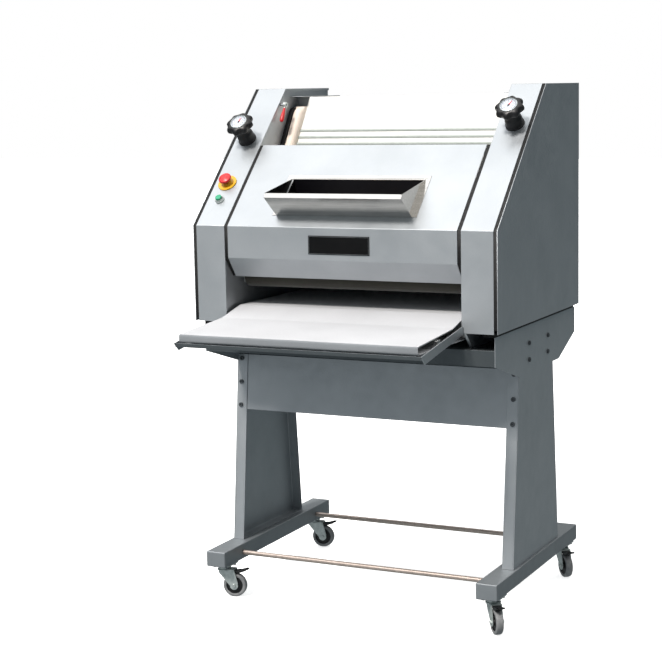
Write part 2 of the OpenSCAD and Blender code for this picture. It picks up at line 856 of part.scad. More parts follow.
module hood() {
  lug = slope_point(hinge_s, -hinge_h);
  color(paint_light) seat() difference() {
    union() {
      across(-hood_half, hood_half) polygon(concat(
        hood_line(0, hood_len), reversed(hood_line(sheet_t, hood_len - sheet_t)),
        [slope_point(hood_len - sheet_t, -hood_flange), slope_point(hood_len, -hood_flange)]
      ));
      both() across(hood_half - 2 * lug_t, hood_half - lug_t) {
        translate(lug) circle(r = lug_r);
        polygon([
          slope_point(hinge_s - lug_r, -sheet_t / 2), slope_point(hinge_s + lug_r - 1, -sheet_t / 2),
          slope_point(hinge_s + lug_r - 1, -hinge_h), slope_point(hinge_s - lug_r, -hinge_h)
        ]);
      }
    }
    across(chute_inset - hopper_half - 1, hopper_half - chute_inset + 1) polygon([
      slope_point(hopper_s0 + 4, 2 * sheet_t), slope_point(hopper_s1 + 4, 2 * sheet_t),
      slope_point(hopper_s1 + 4, -2 * sheet_t), slope_point(hopper_s0 + 4, -2 * sheet_t)
    ]);
    both() bar(lug, hinge_d + 2 * run_clear, hood_half - 3 * lug_t, hood_half);
  }
}

module hood_seals() {
  color(rubber_black) seat() both() across(hood_half, strip_in - loose_clear)
    polygon(concat(hood_line(seal_drop, hood_len), reversed(hood_line(seal_drop + hood_seal_h, hood_len))));
}

// Point on the hopper's rim, at distance s up the slope and h above the bead it is seated on.
function rim_point(s, h) = slope_point(s, h + rim_gap);

module hopper() {
  foot = rim_point(hopper_s0, 0);
  lip = [-hopper_reach, hopper_front_z];
  back = rim_point(hopper_s1, 0);
  lean = atan((lip[1] - foot[1]) / (foot[0] - lip[0]));
  thick = hopper_t * [sin(lean), cos(lean)];
  chute_half = hopper_half - chute_inset;
  chute_front = [infeed_y - 20, infeed_z + infeed_r + 5];
  chute_back = [infeed_y + 40, infeed_z + infeed_r + 30];
  color(steel) seat() {
    across(-hopper_half, hopper_half) polygon([
      foot, lip, lip + [0, hopper_lip], lip + [hopper_t, hopper_lip],
      lip + thick + [0, hopper_t], foot + thick
    ]);
    both() across(hopper_half, hopper_half + hopper_t) polygon([
      foot, lip, lip + [0, hopper_lip], back
    ]);
    both() across(hopper_half + hopper_t, hopper_half + hopper_t + rim_w) polygon([
      rim_point(hopper_s0, 0), rim_point(hopper_s0, hopper_t),
      rim_point(hopper_s1 + rim_w, hopper_t), rim_point(hopper_s1 + rim_w, 0)
    ]);
    across(-hopper_half - hopper_t, hopper_half + hopper_t) polygon([
      rim_point(hopper_s1 - 2 * hopper_t, 0), rim_point(hopper_s1 - 2 * hopper_t, hopper_t),
      rim_point(hopper_s1 + rim_w, hopper_t), rim_point(hopper_s1 + rim_w, 0)
    ]);
    across(-chute_half, chute_half) polygon([
      rim_point(hopper_s1 + hopper_t, hopper_t), rim_point(hopper_s1 - hopper_t, hopper_t),
      chute_back - [hopper_t, 0], chute_back, rim_point(hopper_s1 + hopper_t, 0)
    ]);
    across(-chute_half, chute_half) polygon([
      rim_point(hopper_s0, 0), rim_point(hopper_s0, hopper_t), rim_point(hopper_s0 + 8, hopper_t),
      chute_front + [0, hopper_t], chute_front, rim_point(hopper_s0 + 6, 0)
    ]);
    both() across(chute_half - hopper_t, chute_half) polygon([
      rim_point(hopper_s0 + 7, hopper_t), rim_point(hopper_s1, hopper_t), chute_back, chute_front
    ]);
  }
}

module nameplate() {
  color("#151517") seat()
    translate([-plate_w / 2, -sheet_t, plate_z - plate_h / 2]) cube([plate_w, sheet_t, plate_h]);
}

// Controls

// A tool frame at a handwheel: z along its spindle.
module at_handwheel(side) {
  seat() on_slope(side * control_x, side < 0 ? wheel_left_s : wheel_right_s) children();
}

module handwheel(side) {
  color(rubber_black) at_handwheel(side) difference() {
    union() {
      translate([0, 0, -spindle_len]) cylinder(d = spindle_d, h = spindle_len + knob_z + 5);
      translate([0, 0, knob_z]) linear_extrude(knob_h) {
        circle(d = knob_d - 14);
        for (i = [0 : knob_lobes - 1])
          rotate(i * 360 / knob_lobes) translate([knob_d / 2 - 12, 0]) circle(r = 12);
      }
    }
    translate([0, 0, knob_z + knob_h - gauge_depth]) cylinder(d = gauge_d, h = gauge_depth + 1);
  }
}

module gauge(side) {
  color("#f4f3ee") at_handwheel(side)
    translate([0, 0, knob_z + knob_h - gauge_depth]) cylinder(d = gauge_d, h = gauge_depth + 1);
}

module spindle_collars() {
  color(rubber_black)
    for (side = [-1, 1])
      at_handwheel(side) difference() {
        cylinder(d = collar_d, h = collar_h);
        translate([0, 0, -1]) cylinder(d = spindle_d + 2 * run_clear, h = collar_h + 2);
      }
}

module estop_base() {
  color("#e8c52a") seat() on_slope(-control_x, estop_s) difference() {
    union() {
      cylinder(d = disc_d, h = disc_h);
      cylinder(d = barrel_d, h = disc_h + 4);
      translate([0, 0, -barrel_len]) cylinder(d = barrel_d, h = barrel_len);
    }
    translate([0, 0, -barrel_len + 5]) cylinder(d = stem_d + 2 * run_clear, h = barrel_len + 20);
  }
}

module estop_stem() {
  stem_low = 6 + estop_travel - barrel_len;
  color(steel) seat() on_slope(-control_x, estop_s) {
    translate([0, 0, stem_low]) cylinder(d = stem_d, h = stem_top - stem_low);
    translate([0, 0, stem_top]) cylinder(d = spigot_d, h = 9);
  }
}

module estop_head() {
  head_r = estop_d / 2;
  low = stem_top + loose_clear;
  dome_h = 8;
  bore = spigot_d / 2 + run_clear;
  color(red) seat() on_slope(-control_x, estop_s) rotate_extrude() polygon(concat(
    [[0, low + 9], [bore, low + 9], [bore, low], [head_r - 5, low], [head_r, low + 5]],
    [for (a = [0 : 10 : 90]) [head_r * cos(a), estop_h - dome_h + dome_h * sin(a)]]
  ));
}

module start_bezel() {
  color(zinc) seat() on_slope(-control_x, start_s) difference() {
    union() {
      cylinder(d = bezel_d, h = bezel_h / 2);
      cylinder(d = bezel_d - 4, h = bezel_h);
      translate([0, 0, -barrel_len]) cylinder(d = bezel_d - 4, h = barrel_len);
    }
    translate([0, 0, -barrel_len / 2]) cylinder(d = start_d + 2 * run_clear, h = barrel_len);
  }
}

module start_cap() {
  low = 1 + start_travel - barrel_len / 2;
  color("#2d9a63") seat() on_slope(-control_x, start_s)
    translate([0, 0, low]) cylinder(d = start_d, h = cap_h - low);
}

module latch_lever() {
  eye = frame_in - lever_reach;
  color(red) seat() translate([-eye, lever_y, lever_z]) difference() {
    union() {
      rotate([0, 90, 0]) cylinder(d = lever_d + 10, h = 10, center = true);
      rotate([180 - lever_lean, 0, 0]) {
        cylinder(d = lever_d - 1, h = lever_len - 10);
        translate([0, 0, lever_len - grip_len]) cylinder(d = grip_d, h = grip_len);
      }
    }
    rotate([0, 90, 0]) cylinder(d = lever_d + 2 * run_clear, h = 20, center = true);
  }
}

// Infeed

// A hollow roller across the machine, with pierced end discs on its shaft.
module roller(at, r, w, d, x0, x1) {
  inner = r - roller_wall;
  difference() {
    bar(at, 2 * r, -w / 2, w / 2);
    bar(at, 2 * inner, -w / 2 + roller_end, w / 2 - roller_end);
    for (a = [0 : 90 : 270])
      bar(at + (inner + d / 2) / 2 * [cos(a), sin(a)], roller_hole_d, -w, w);
  }
  bar(at, d, x0, x1);
}

module infeed_roller_front() {
  reach = frame_out + block_t - 3;
  color("#e9e9e4") seat() roller([infeed_y, infeed_z], infeed_r, infeed_w, shaft_d, -reach, reach);
}

module infeed_roller_rear() {
  at = [infeed_rear_y, infeed_z];
  color("#e9e9e4") seat() {
    roller(at, infeed_r, infeed_w, shaft_d, -frame_out - 2, shaft_end);
    bar(at, 2 * link_r, pulley_b_x, shaft_end);
  }
}

module roller_carrier() {
  color(steel) seat() both() difference() {
    translate([frame_out + slide_clear, infeed_y - block / 2, infeed_z - block / 2])
      cube([block_t, block, block]);
    bar([infeed_y, infeed_z], shaft_d + 2 * run_clear, frame_out - 1, frame_out + block_t - 2);
  }
}

// Lower conveyor

module lower_belt() {
  color(felt) seat() across(-belt_w / 2, belt_w / 2) belt_loop(lower_loop, belt_t);
}

module drive_drum() {
  at = [drum_c[0], drum_c[1]];
  color(steel) seat() {
    roller(at, drum_r - belt_t - belt_clear, belt_w - 4, shaft_d, -frame_out - 2, shaft_end);
    bar(at, 2 * drum_pulley_r, pulley_a_x, pulley_a_x + pulley_w);
    bar(at, 2 * link_r, pulley_b_x, shaft_end);
  }
}

module outfeed_bed() {
  under = belt_t + belt_clear;
  rib_z = nose_c[1] - nose_r + belt_t + 4;
  color(steel) seat() {
    across(-bed_w / 2, bed_w / 2) intersection() {
      difference() {
        polygon(loop_points(lower_loop, -under));
        polygon(loop_points(lower_loop, -under - bed_t));
      }
      translate([-nose_reach, nose_c[1] - 4])
        square([nose_reach + drum_c[0] - drum_r - 10, nose_drop + nose_h]);
    }
    for (y = bed_ribs)
      across(-arm_x, arm_x) intersection() {
        polygon(loop_points(lower_loop, -under - bed_t));
        translate([y, rib_z]) square([bed_rib_w, nose_drop + nose_h]);
      }
  }
}

module outfeed_tray() {
  tip_z = nose_c[1] - nose_r - 1;
  lip_y = -nose_reach - lip_gap;
  color(paint) seat() {
    translate([-arm_x, lip_y, tip_z - lip_h]) cube([2 * arm_x, lip_depth, sheet_t]);
    translate([-arm_x, lip_y, tip_z - lip_h]) cube([2 * arm_x, sheet_t, lip_h]);
    both() across(arm_x, frame_in) polygon([
      [-ear_reach, tip_z], [arm_step_y, arm_top_z], [arm_rear_y, arm_top_z],
      [arm_rear_y, arm_top_z - arm_h], [arm_step_y, arm_top_z - arm_h], [-ear_reach + tip_cut, tip_z - arm_h]
    ]);
  }
}

// Upper conveyor

module upper_carriage() {
  slot_clear = key_h / 2 + 1;
  color(steel) seat() {
    both() across(carriage_x, carriage_x + carriage_t) difference() {
      union() {
        polygon([
          [upper_front[0] - 20, upper_z - rail_half], [upper_rear[0] + 20, upper_z - rail_half],
          [upper_rear[0] + 20, upper_z + rail_half], [upper_front[0] - 20, upper_z + rail_half]
        ]);
        for (y = keys)
          translate([y - ear_half, upper_z - rail_half])
            square([2 * ear_half, key_z - upper_z + rail_half + carriage_down + slot_clear + 8]);
      }
      for (y = keys)
        translate([y - key_w / 2 - slide_clear, key_z - carriage_up - slot_clear])
          square([key_w + 2 * slide_clear, carriage_up + carriage_down + 2 * slot_clear]);
      for (c = upper_loop) translate([c[0], c[1]]) circle(d = stub_d + 2 * run_clear);
    }
    across(-carriage_x, carriage_x)
      translate([upper_front[0] + upper_r + 10, upper_z - upper_r + belt_t + belt_clear])
        square([upper_rear[0] - upper_front[0] - 2 * upper_r - 20, bridge_h]);
  }
}

module upper_belt() {
  color(felt) seat() across(-upper_w / 2, upper_w / 2) belt_loop(upper_loop, belt_t);
}

module upper_roller(c) {
  reach = carriage_x + carriage_t;
  color(steel) seat()
    roller([c[0], c[1]], upper_r - belt_t - belt_clear, upper_w, stub_d, -reach, reach);
}

// Drive

module gearmotor() {
  at = [motor_c[0], motor_c[1]];
  gearbox_x = frame_in - gearbox_len;
  color("#4a6a86") seat() difference() {
    union() {
      translate([gearbox_x, at[0] - motor_w / 2, at[1] - motor_w / 2])
        cube([gearbox_len, motor_w, motor_w]);
      bar(at, motor_w - 20, gearbox_x - motor_len, gearbox_x + 1);
      bar(at, motor_w - 14, gearbox_x - motor_len - fan_len, gearbox_x - motor_len + 1);
      translate([gearbox_x - motor_len + 50, at[0] - terminal_w / 2, at[1] + motor_w / 2 - 20])
        cube([terminal_len, terminal_w, 50]);
    }
    bar(at, motor_shaft_d + 2 * run_clear, frame_in - motor_bore, frame_in + 1);
  }
}

module motor_pulley() {
  at = [motor_c[0], motor_c[1]];
  color(steel) seat() {
    bar(at, motor_shaft_d, frame_in - motor_bore + 2, pulley_a_x + pulley_w);
    bar(at, 2 * motor_c[2], pulley_a_x, pulley_a_x + pulley_w);
  }
}

module drive_belts() {
  grow = drive_t + belt_clear;
  first = [[motor_c[0], motor_c[1], motor_c[2] + grow], [drum_c[0], drum_c[1], drum_pulley_r + grow]];
  second = [[infeed_rear_y, infeed_z, link_r + grow], [drum_c[0], drum_c[1], link_r + grow]];
  color(rubber_black) seat() {
    across(pulley_a_x + 2, pulley_a_x + pulley_w - 2) belt_loop(first, drive_t);
    across(pulley_b_x + 2, pulley_b_x + pulley_w - 2) belt_loop(second, drive_t);
  }
}

leg(-1);  // leg_left
leg(1);  // leg_right
front_apron();
foot_beams();
tie_rods();
stand_bolts();
caster_plates();
caster_fork(caster_turn[0]);  // caster_fork_fl
caster_fork(caster_turn[1]);  // caster_fork_fr
caster_fork(caster_turn[2]);  // caster_fork_rl
caster_fork(caster_turn[3]);  // caster_fork_rr
caster_wheel(caster_turn[0]);  // caster_wheel_fl
caster_wheel(caster_turn[1]);  // caster_wheel_fr
caster_wheel(caster_turn[2]);  // caster_wheel_rl
caster_wheel(caster_turn[3]);  // caster_wheel_rr
brake_pedal(caster_turn[0]);  // brake_pedal_fl
brake_pedal(caster_turn[1]);  // brake_pedal_fr
brake_pedal(caster_turn[2]);  // brake_pedal_rl
brake_pedal(caster_turn[3]);  // brake_pedal_rr
base_tray();
side_frame(-1);  // side_frame_left
side_frame(1);  // side_frame_right
rear_guide();
rear_panel();
front_strip(-1);  // front_strip_left
front_strip(1);  // front_strip_right
side_cover(-1);  // side_cover_left
side_cover(1);  // side_cover_right
cover_seals();
top_cover();
cover_cheeks();
hood();
hood_seals();
hopper();
nameplate();
handwheel(-1);  // handwheel_left
handwheel(1);  // handwheel_right
gauge(-1);  // gauge_left
gauge(1);  // gauge_right
spindle_collars();
estop_base();
estop_stem();
estop_head();
start_bezel();
start_cap();
latch_lever();
infeed_roller_front();
infeed_roller_rear();
roller_carrier();
lower_belt();
drive_drum();
outfeed_bed();
outfeed_tray();
upper_carriage();
upper_belt();
upper_roller(upper_front);  // upper_roller_front
upper_roller(upper_rear);  // upper_roller_rear
gearmotor();
motor_pulley();
drive_belts();
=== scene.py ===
import json
from math import atan2, cos, hypot, pi, radians, sin

import bmesh
import bpy
from mathutils import Matrix, Vector, noise


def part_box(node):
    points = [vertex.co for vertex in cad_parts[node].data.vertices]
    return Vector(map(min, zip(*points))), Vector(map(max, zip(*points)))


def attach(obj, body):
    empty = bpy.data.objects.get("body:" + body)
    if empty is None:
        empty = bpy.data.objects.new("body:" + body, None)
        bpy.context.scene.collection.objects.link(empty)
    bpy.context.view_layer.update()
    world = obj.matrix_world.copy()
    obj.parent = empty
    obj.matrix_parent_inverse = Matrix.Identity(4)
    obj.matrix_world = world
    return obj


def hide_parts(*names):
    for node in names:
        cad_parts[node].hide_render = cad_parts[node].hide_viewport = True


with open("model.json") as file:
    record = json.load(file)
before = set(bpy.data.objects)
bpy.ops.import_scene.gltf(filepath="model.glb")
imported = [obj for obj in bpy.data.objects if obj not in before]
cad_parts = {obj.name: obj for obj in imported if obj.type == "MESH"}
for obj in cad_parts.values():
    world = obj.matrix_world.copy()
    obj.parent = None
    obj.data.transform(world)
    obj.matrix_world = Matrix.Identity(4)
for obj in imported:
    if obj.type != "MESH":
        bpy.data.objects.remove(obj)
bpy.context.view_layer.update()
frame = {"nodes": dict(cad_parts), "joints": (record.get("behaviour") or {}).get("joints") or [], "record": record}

nodes = frame["nodes"]
record = frame["record"]
joints = {joint["name"]: joint for joint in frame["joints"]}
bodyOf = {node: body for body, members in record["behaviour"]["bodies"].items() for node in members}
mm = 0.001  # the frame is in metres, and sizes below are in mm unless noted
print("frame loaded:", len(nodes), "solids")


# Colours and nodes

def srgb(code):
    parts = [int(code[i:i + 2], 16) / 255 for i in (1, 3, 5)]
    linear = [c / 12.92 if c <= 0.04045 else ((c + 0.055) / 1.055) ** 2.4 for c in parts]
    return (*linear, 1.0)


def addNode(tree, kind, inputs=None, **settings):
    node = tree.nodes.new(kind)
    for key, value in settings.items():
        setattr(node, key, value)
    for key, value in (inputs or {}).items():
        if isinstance(value, bpy.types.NodeSocket):
            tree.links.new(value, node.inputs[key])
        else:
            node.inputs[key].default_value = value
    return node


def perMetre(size):
    return 1000 / size  # repeats of a pattern whose grain is size millimetres


def startMaterial(name, **settings):  # a socket's name has _ for each space
    made = bpy.data.materials.new(name)
    made.use_nodes = True
    tree = made.node_tree
    shader = tree.nodes["Principled BSDF"]
    for key, value in settings.items():
        shader.inputs[key.replace("_", " ")].default_value = value
    place = addNode(tree, "ShaderNodeTexCoord").outputs["Object"]
    return made, tree, shader, place


noiseSpan = {"From Min": 0.3, "From Max": 0.7}  # nearly all values of a noise pattern lie in here


def mottle(tree, place, size, low=0, high=1, detail=3.0, stretch=(1, 1, 1)):  # noise, size in mm
    moved = addNode(tree, "ShaderNodeMapping", {"Vector": place, "Scale": stretch}).outputs[0]
    grain = addNode(tree, "ShaderNodeTexNoise",
                    {"Vector": moved, "Scale": perMetre(size), "Detail": detail}).outputs["Fac"]
    ramp = addNode(tree, "ShaderNodeMapRange", {"Value": grain, "To Min": low, "To Max": high, **noiseSpan})
    return ramp.outputs[0]


def tint(tree, shader, amount, first, second):
    mixed = addNode(tree, "ShaderNodeMix", {"Factor": amount, "A": srgb(first), "B": srgb(second)},
                    data_type="RGBA")
    tree.links.new(mixed.outputs["Result"], shader.inputs["Base Color"])


def relief(tree, shader, height, depth, strength):  # depth in mm
    bump = addNode(tree, "ShaderNodeBump", {"Height": height, "Distance": depth * mm, "Strength": strength})
    tree.links.new(bump.outputs[0], shader.inputs["Normal"])


# Finishes, with grain sizes and depths in mm

dustBand = {"foot": 60, "top": 400, "most": 0.45}  # heights in mm between which dust thins out


def powderCoat(name, light, dark, rough):  # powder coat: even, faint orange peel, dulled low down
    made, tree, shader, place = startMaterial(name, Metallic=0.6)
    cloud = mottle(tree, place, size=160, high=0.4)
    flake = mottle(tree, place, size=1.6, high=0.2)  # metal flake is 0.1 mm, drawn at 1.6 to show
    uneven = addNode(tree, "ShaderNodeMath", {0: cloud, 1: flake}, operation="ADD").outputs[0]
    height = addNode(tree, "ShaderNodeSeparateXYZ", {"Vector": place}).outputs["Z"]
    dust = addNode(tree, "ShaderNodeMapRange",
                   {"Value": height, "From Min": dustBand["foot"] * mm, "From Max": dustBand["top"] * mm,
                    "To Min": dustBand["most"], "To Max": 0.0}).outputs[0]
    worn = addNode(tree, "ShaderNodeMath", {0: uneven, 1: dust}, operation="ADD", use_clamp=True).outputs[0]
    tint(tree, shader, worn, light, dark)
    sheen = mottle(tree, place, size=35, low=rough - 0.05, high=rough + 0.07)
    tree.links.new(sheen, shader.inputs["Roughness"])
    peel = mottle(tree, place, size=3.2, detail=2.0)  # peel is near 2 mm, drawn at 3 to show
    relief(tree, shader, peel, depth=0.05, strength=0.35)
    return made


def brushedStainless(name, light, dark):  # stainless sheet with a brushed grain along its width
    made, tree, shader, place = startMaterial(name, Metallic=1.0, Anisotropic=0.45)
    hairline = {"size": 1.6, "detail": 4.0, "stretch": (0.02, 1, 1)}  # 0.2 mm wide, drawn at 1.6 to show
    grain = mottle(tree, place, **hairline)
    tint(tree, shader, grain, light, dark)
    tree.links.new(mottle(tree, place, low=0.24, high=0.4, **hairline), shader.inputs["Roughness"])
    relief(tree, shader, grain, depth=0.02, strength=0.4)
    return made


def polishedStainless(name, light, dark):  # mirror-rolled sheet with faint rolling streaks
    made, tree, shader, place = startMaterial(name, Metallic=1.0)
    tint(tree, shader, mottle(tree, place, size=5, stretch=(0.05, 1, 1)), light, dark)
    tree.links.new(mottle(tree, place, size=30, low=0.12, high=0.2), shader.inputs["Roughness"])
    relief(tree, shader, mottle(tree, place, size=60), depth=0.05, strength=0.3)
    return made


def satinSteel(name, light, dark):  # zinc plated, drawn or phosphated steel: satin, a little cloudy
    made, tree, shader, place = startMaterial(name, Metallic=0.6)
    tint(tree, shader, mottle(tree, place, size=9, detail=4.0), light, dark)
    tree.links.new(mottle(tree, place, size=5, low=0.28, high=0.46), shader.inputs["Roughness"])
    relief(tree, shader, mottle(tree, place, size=2.5), depth=0.03, strength=0.4)
    return made


def mouldedPlastic(name, light, dark, rough, coat=0.0):  # injection moulded: fine spark-eroded texture
    made, tree, shader, place = startMaterial(name, Coat_Weight=coat, Coat_Roughness=0.08)
    tint(tree, shader, mottle(tree, place, size=14), light, dark)
    sheen = mottle(tree, place, size=6, low=rough - 0.06, high=rough + 0.06)
    tree.links.new(sheen, shader.inputs["Roughness"])
    texture = mottle(tree, place, size=1.4, detail=2.0)  # texture is 0.3 mm, drawn at 1.4 to show
    relief(tree, shader, texture, depth=0.03, strength=0.5)
    return made


def extrudedRubber(name, light, dark):  # EPDM profile: matt black with chalky bloom
    made, tree, shader, place = startMaterial(name, Specular_IOR_Level=0.35)
    tint(tree, shader, mottle(tree, place, size=22, detail=4.0), light, dark)
    tree.links.new(mottle(tree, place, size=8, low=0.55, high=0.75), shader.inputs["Roughness"])
    relief(tree, shader, mottle(tree, place, size=1.8), depth=0.05, strength=0.5)
    return made


def pressedFelt(name, light, dark):  # wool felt: soft nap, fibres in the running direction, floury patches
    made, tree, shader, place = startMaterial(name, Sheen_Weight=0.35, Sheen_Roughness=0.5,
                                              Specular_IOR_Level=0.2, Roughness=0.95)
    fibre = {"size": 2.2, "stretch": (1, 0.35, 1)}  # fibres are finer, drawn at 2 mm to show
    patch = mottle(tree, place, size=190, high=0.55)
    nap = mottle(tree, place, high=0.45, detail=5.0, **fibre)
    uneven = addNode(tree, "ShaderNodeMath", {0: patch, 1: nap}, operation="ADD", use_clamp=True).outputs[0]
    tint(tree, shader, uneven, light, dark)
    relief(tree, shader, mottle(tree, place, detail=6.0, **fibre), depth=0.35, strength=0.6)
    return made


def enamel(name, light, dark, rough, gloss=0.5):  # enamel or hard coating: smooth, slightly uneven gloss
    made, tree, shader, place = startMaterial(name, Specular_IOR_Level=gloss)
    tint(tree, shader, mottle(tree, place, size=120), light, dark)
    sheen = mottle(tree, place, size=25, low=rough - 0.05, high=rough + 0.08)
    tree.links.new(sheen, shader.inputs["Roughness"])
    relief(tree, shader, mottle(tree, place, size=4, detail=2.0), depth=0.04, strength=0.3)
    return made


silverPaint = powderCoat("silver powder coat", "#b4b8bb", "#9da2a6", 0.42)
# grey paint, darkened to paint the shade under the outfeed table
greyShadePaint = powderCoat("grey powder coat darkened as painted shade", "#575d60", "#4a5053", 0.45)
# a darker silver powder coat, used on the foot beams
dimSilverPaint = powderCoat("dim silver powder coat", "#9a9fa2", "#878c90", 0.5)
stainless = brushedStainless("brushed stainless steel", "#cfcfcd", "#a9aaa9")
mirrorStainless = polishedStainless("polished stainless steel", "#c6c4c0", "#b3b1ad")
drawnSteel = satinSteel("drawn steel bar", "#beb0a7", "#a69990")
zinc = satinSteel("zinc plated steel", "#d0d6d4", "#b3bbb8")
darkSteel = satinSteel("phosphated steel", "#5d6164", "#484c4f")
# near-black coat that paints the shade inside the hopper
insideShadeCoat = enamel("near-black coat as painted shade", "#09080b", "#0e0d12", 0.36, gloss=0.1)
blackNylon = mouldedPlastic("black nylon", "#0b0b0d", "#131316", 0.42)
blackHub = mouldedPlastic("black polypropylene", "#0d0e0f", "#151618", 0.5)
tyreGrey = mouldedPlastic("grey polyurethane", "#8b8c8d", "#737476", 0.55)
seal = extrudedRubber("black rubber seal", "#080809", "#101112")
felt = pressedFelt("pressed wool felt", "#c9cacd", "#babbbe")
# grey felt that paints the shade on the lower belt's nose front
noseShadeFelt = pressedFelt("grey felt as painted shade", "#8f9397", "#7d8185")
# dark felt that paints the shade on the upper belt under the hood
upperShadeFelt = pressedFelt("dark felt as painted shade", "#3d3b33", "#302f29")
# grey for the rib tops: painted shade
ribShadeGrey = mouldedPlastic("rib grey as painted shade", "#a9b0ab", "#9da49f", 0.6)
whiteEnamel = enamel("white enamel", "#e4e4e1", "#dadad6", 0.32)
creamNylon = mouldedPlastic("cream nylon", "#f0e2d5", "#e6d7c8", 0.5)
blackPlate = enamel("black anodised plate", "#080809", "#0e0e0f", 0.4, gloss=0.15)
dialWhite = mouldedPlastic("white ABS dial", "#c3c9d3", "#b9bfc9", 0.45, coat=0.3)
dialInk = mouldedPlastic("dial ink", "#131314", "#1b1b1c", 0.5)
redPlastic = mouldedPlastic("red moulded plastic", "#d0262a", "#b91d22", 0.32)
yellowPlastic = mouldedPlastic("yellow moulded plastic", "#e3b01f", "#d3a018", 0.36)
greenPlastic = mouldedPlastic("green moulded plastic", "#2fa37a", "#27906a", 0.3)
blueCasting = enamel("blue painted casting", "#3c5a72", "#324c61", 0.45)
print("finishes made:", len(bpy.data.materials))


# Shaping

weldReach = 1e-6  # metres within which two points become one
flatWithin = 0.5  # degrees between faces that are one flat face
smoothWithin = 40  # degrees up to which shading runs over an edge
foldSizes = {"turn": 20, "leastFace": 6, "segments": 4}  # degrees, and mm of face beside a fold


def bevelEdges(bm, edges, width, segments=2):
    bmesh.ops.bevel(bm, geom=edges, offset=width, offset_type="OFFSET", affect="EDGES", segments=segments,
                    profile=0.5, material=-1, clamp_overlap=False)


def sharpEdges(bm, least):  # least in degrees
    return [e for e in bm.edges if len(e.link_faces) == 2 and e.calc_face_angle(0) > radians(least)]


def faceWidth(face):
    return face.calc_area() / max(e.calc_length() for e in face.edges)


def lathe(profile, steps=64, closed=False):  # profile is (radius, height) in mm, turned round Z
    bm = bmesh.new()
    verts = [bm.verts.new((r * mm, 0, z * mm)) for r, z in profile]
    edges = [bm.edges.new(pair) for pair in zip(verts, verts[1:])]
    if closed:
        edges.append(bm.edges.new((verts[-1], verts[0])))
    bmesh.ops.spin(bm, geom=verts + edges, cent=(0, 0, 0), axis=(0, 0, 1), angle=2 * pi, steps=steps,
                   use_merge=True)
    bmesh.ops.remove_doubles(bm, verts=bm.verts, dist=weldReach)
    bmesh.ops.recalc_face_normals(bm, faces=bm.faces)
    return bm


def makePiece(name, bm, finish, body, replaced=(), place=None):
    if place is not None:
        bmesh.ops.transform(bm, matrix=place, verts=bm.verts)
    mesh = bpy.data.meshes.new(name)
    for face in bm.faces:
        face.smooth = True
    bm.to_mesh(mesh)
    bm.free()
    mesh.set_sharp_from_angle(angle=radians(smoothWithin))
    for material in finish if isinstance(finish, list) else [finish]:
        mesh.materials.append(material)
    piece = bpy.data.objects.new(name, mesh)
    bpy.context.scene.collection.objects.link(piece)
    even = piece.modifiers.new("even normals", "WEIGHTED_NORMAL")
    even.keep_sharp = True
    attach(piece, body)
    if replaced:
        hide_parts(*replaced)
    return piece


def replaceNode(node, name, bm, finish, place=None):  # a piece that stands in for a CAD solid
    return makePiece(name, bm, finish, bodyOf[node], [node], place)


def solidCopy(node):  # a merged copy of a CAD solid, its flat faces whole again
    bm = bmesh.new()
    bm.from_mesh(nodes[node].data)
    bmesh.ops.remove_doubles(bm, verts=bm.verts, dist=weldReach)
    bmesh.ops.dissolve_limit(bm, angle_limit=radians(flatWithin), verts=bm.verts, edges=bm.edges)
    bmesh.ops.connect_verts_concave(bm, faces=bm.faces)
    return bm


def dress(node, finish, cut, fold=0.0):  # radii of cut edges and of folds in mm
    bm = solidCopy(node)
    if fold:
        folds = [e for e in sharpEdges(bm, least=foldSizes["turn"])
                 if min(faceWidth(f) for f in e.link_faces) > foldSizes["leastFace"] * mm]
        bevelEdges(bm, folds, fold * mm, foldSizes["segments"])
    if cut:
        bevelEdges(bm, sharpEdges(bm, least=50), cut * mm)
    return replaceNode(node, node + "_finished", bm, finish)


def standAt(place, axis, side=(1, 0, 0)):  # a frame at place with its Z along axis
    z = Vector(axis).normalized()
    y = z.cross(Vector(side)).normalized()
    return Matrix.Translation(place) @ Matrix((y.cross(z), y, z)).transposed().to_4x4()


def gather(parts):  # several meshes, each moved to its place, as one
    whole = bmesh.new()
    for bm, place in parts:
        bmesh.ops.transform(bm, matrix=place, verts=bm.verts)
        mesh = bpy.data.meshes.new("part")
        bm.to_mesh(mesh)
        bm.free()
        whole.from_mesh(mesh)
        bpy.data.meshes.remove(mesh)
    return whole


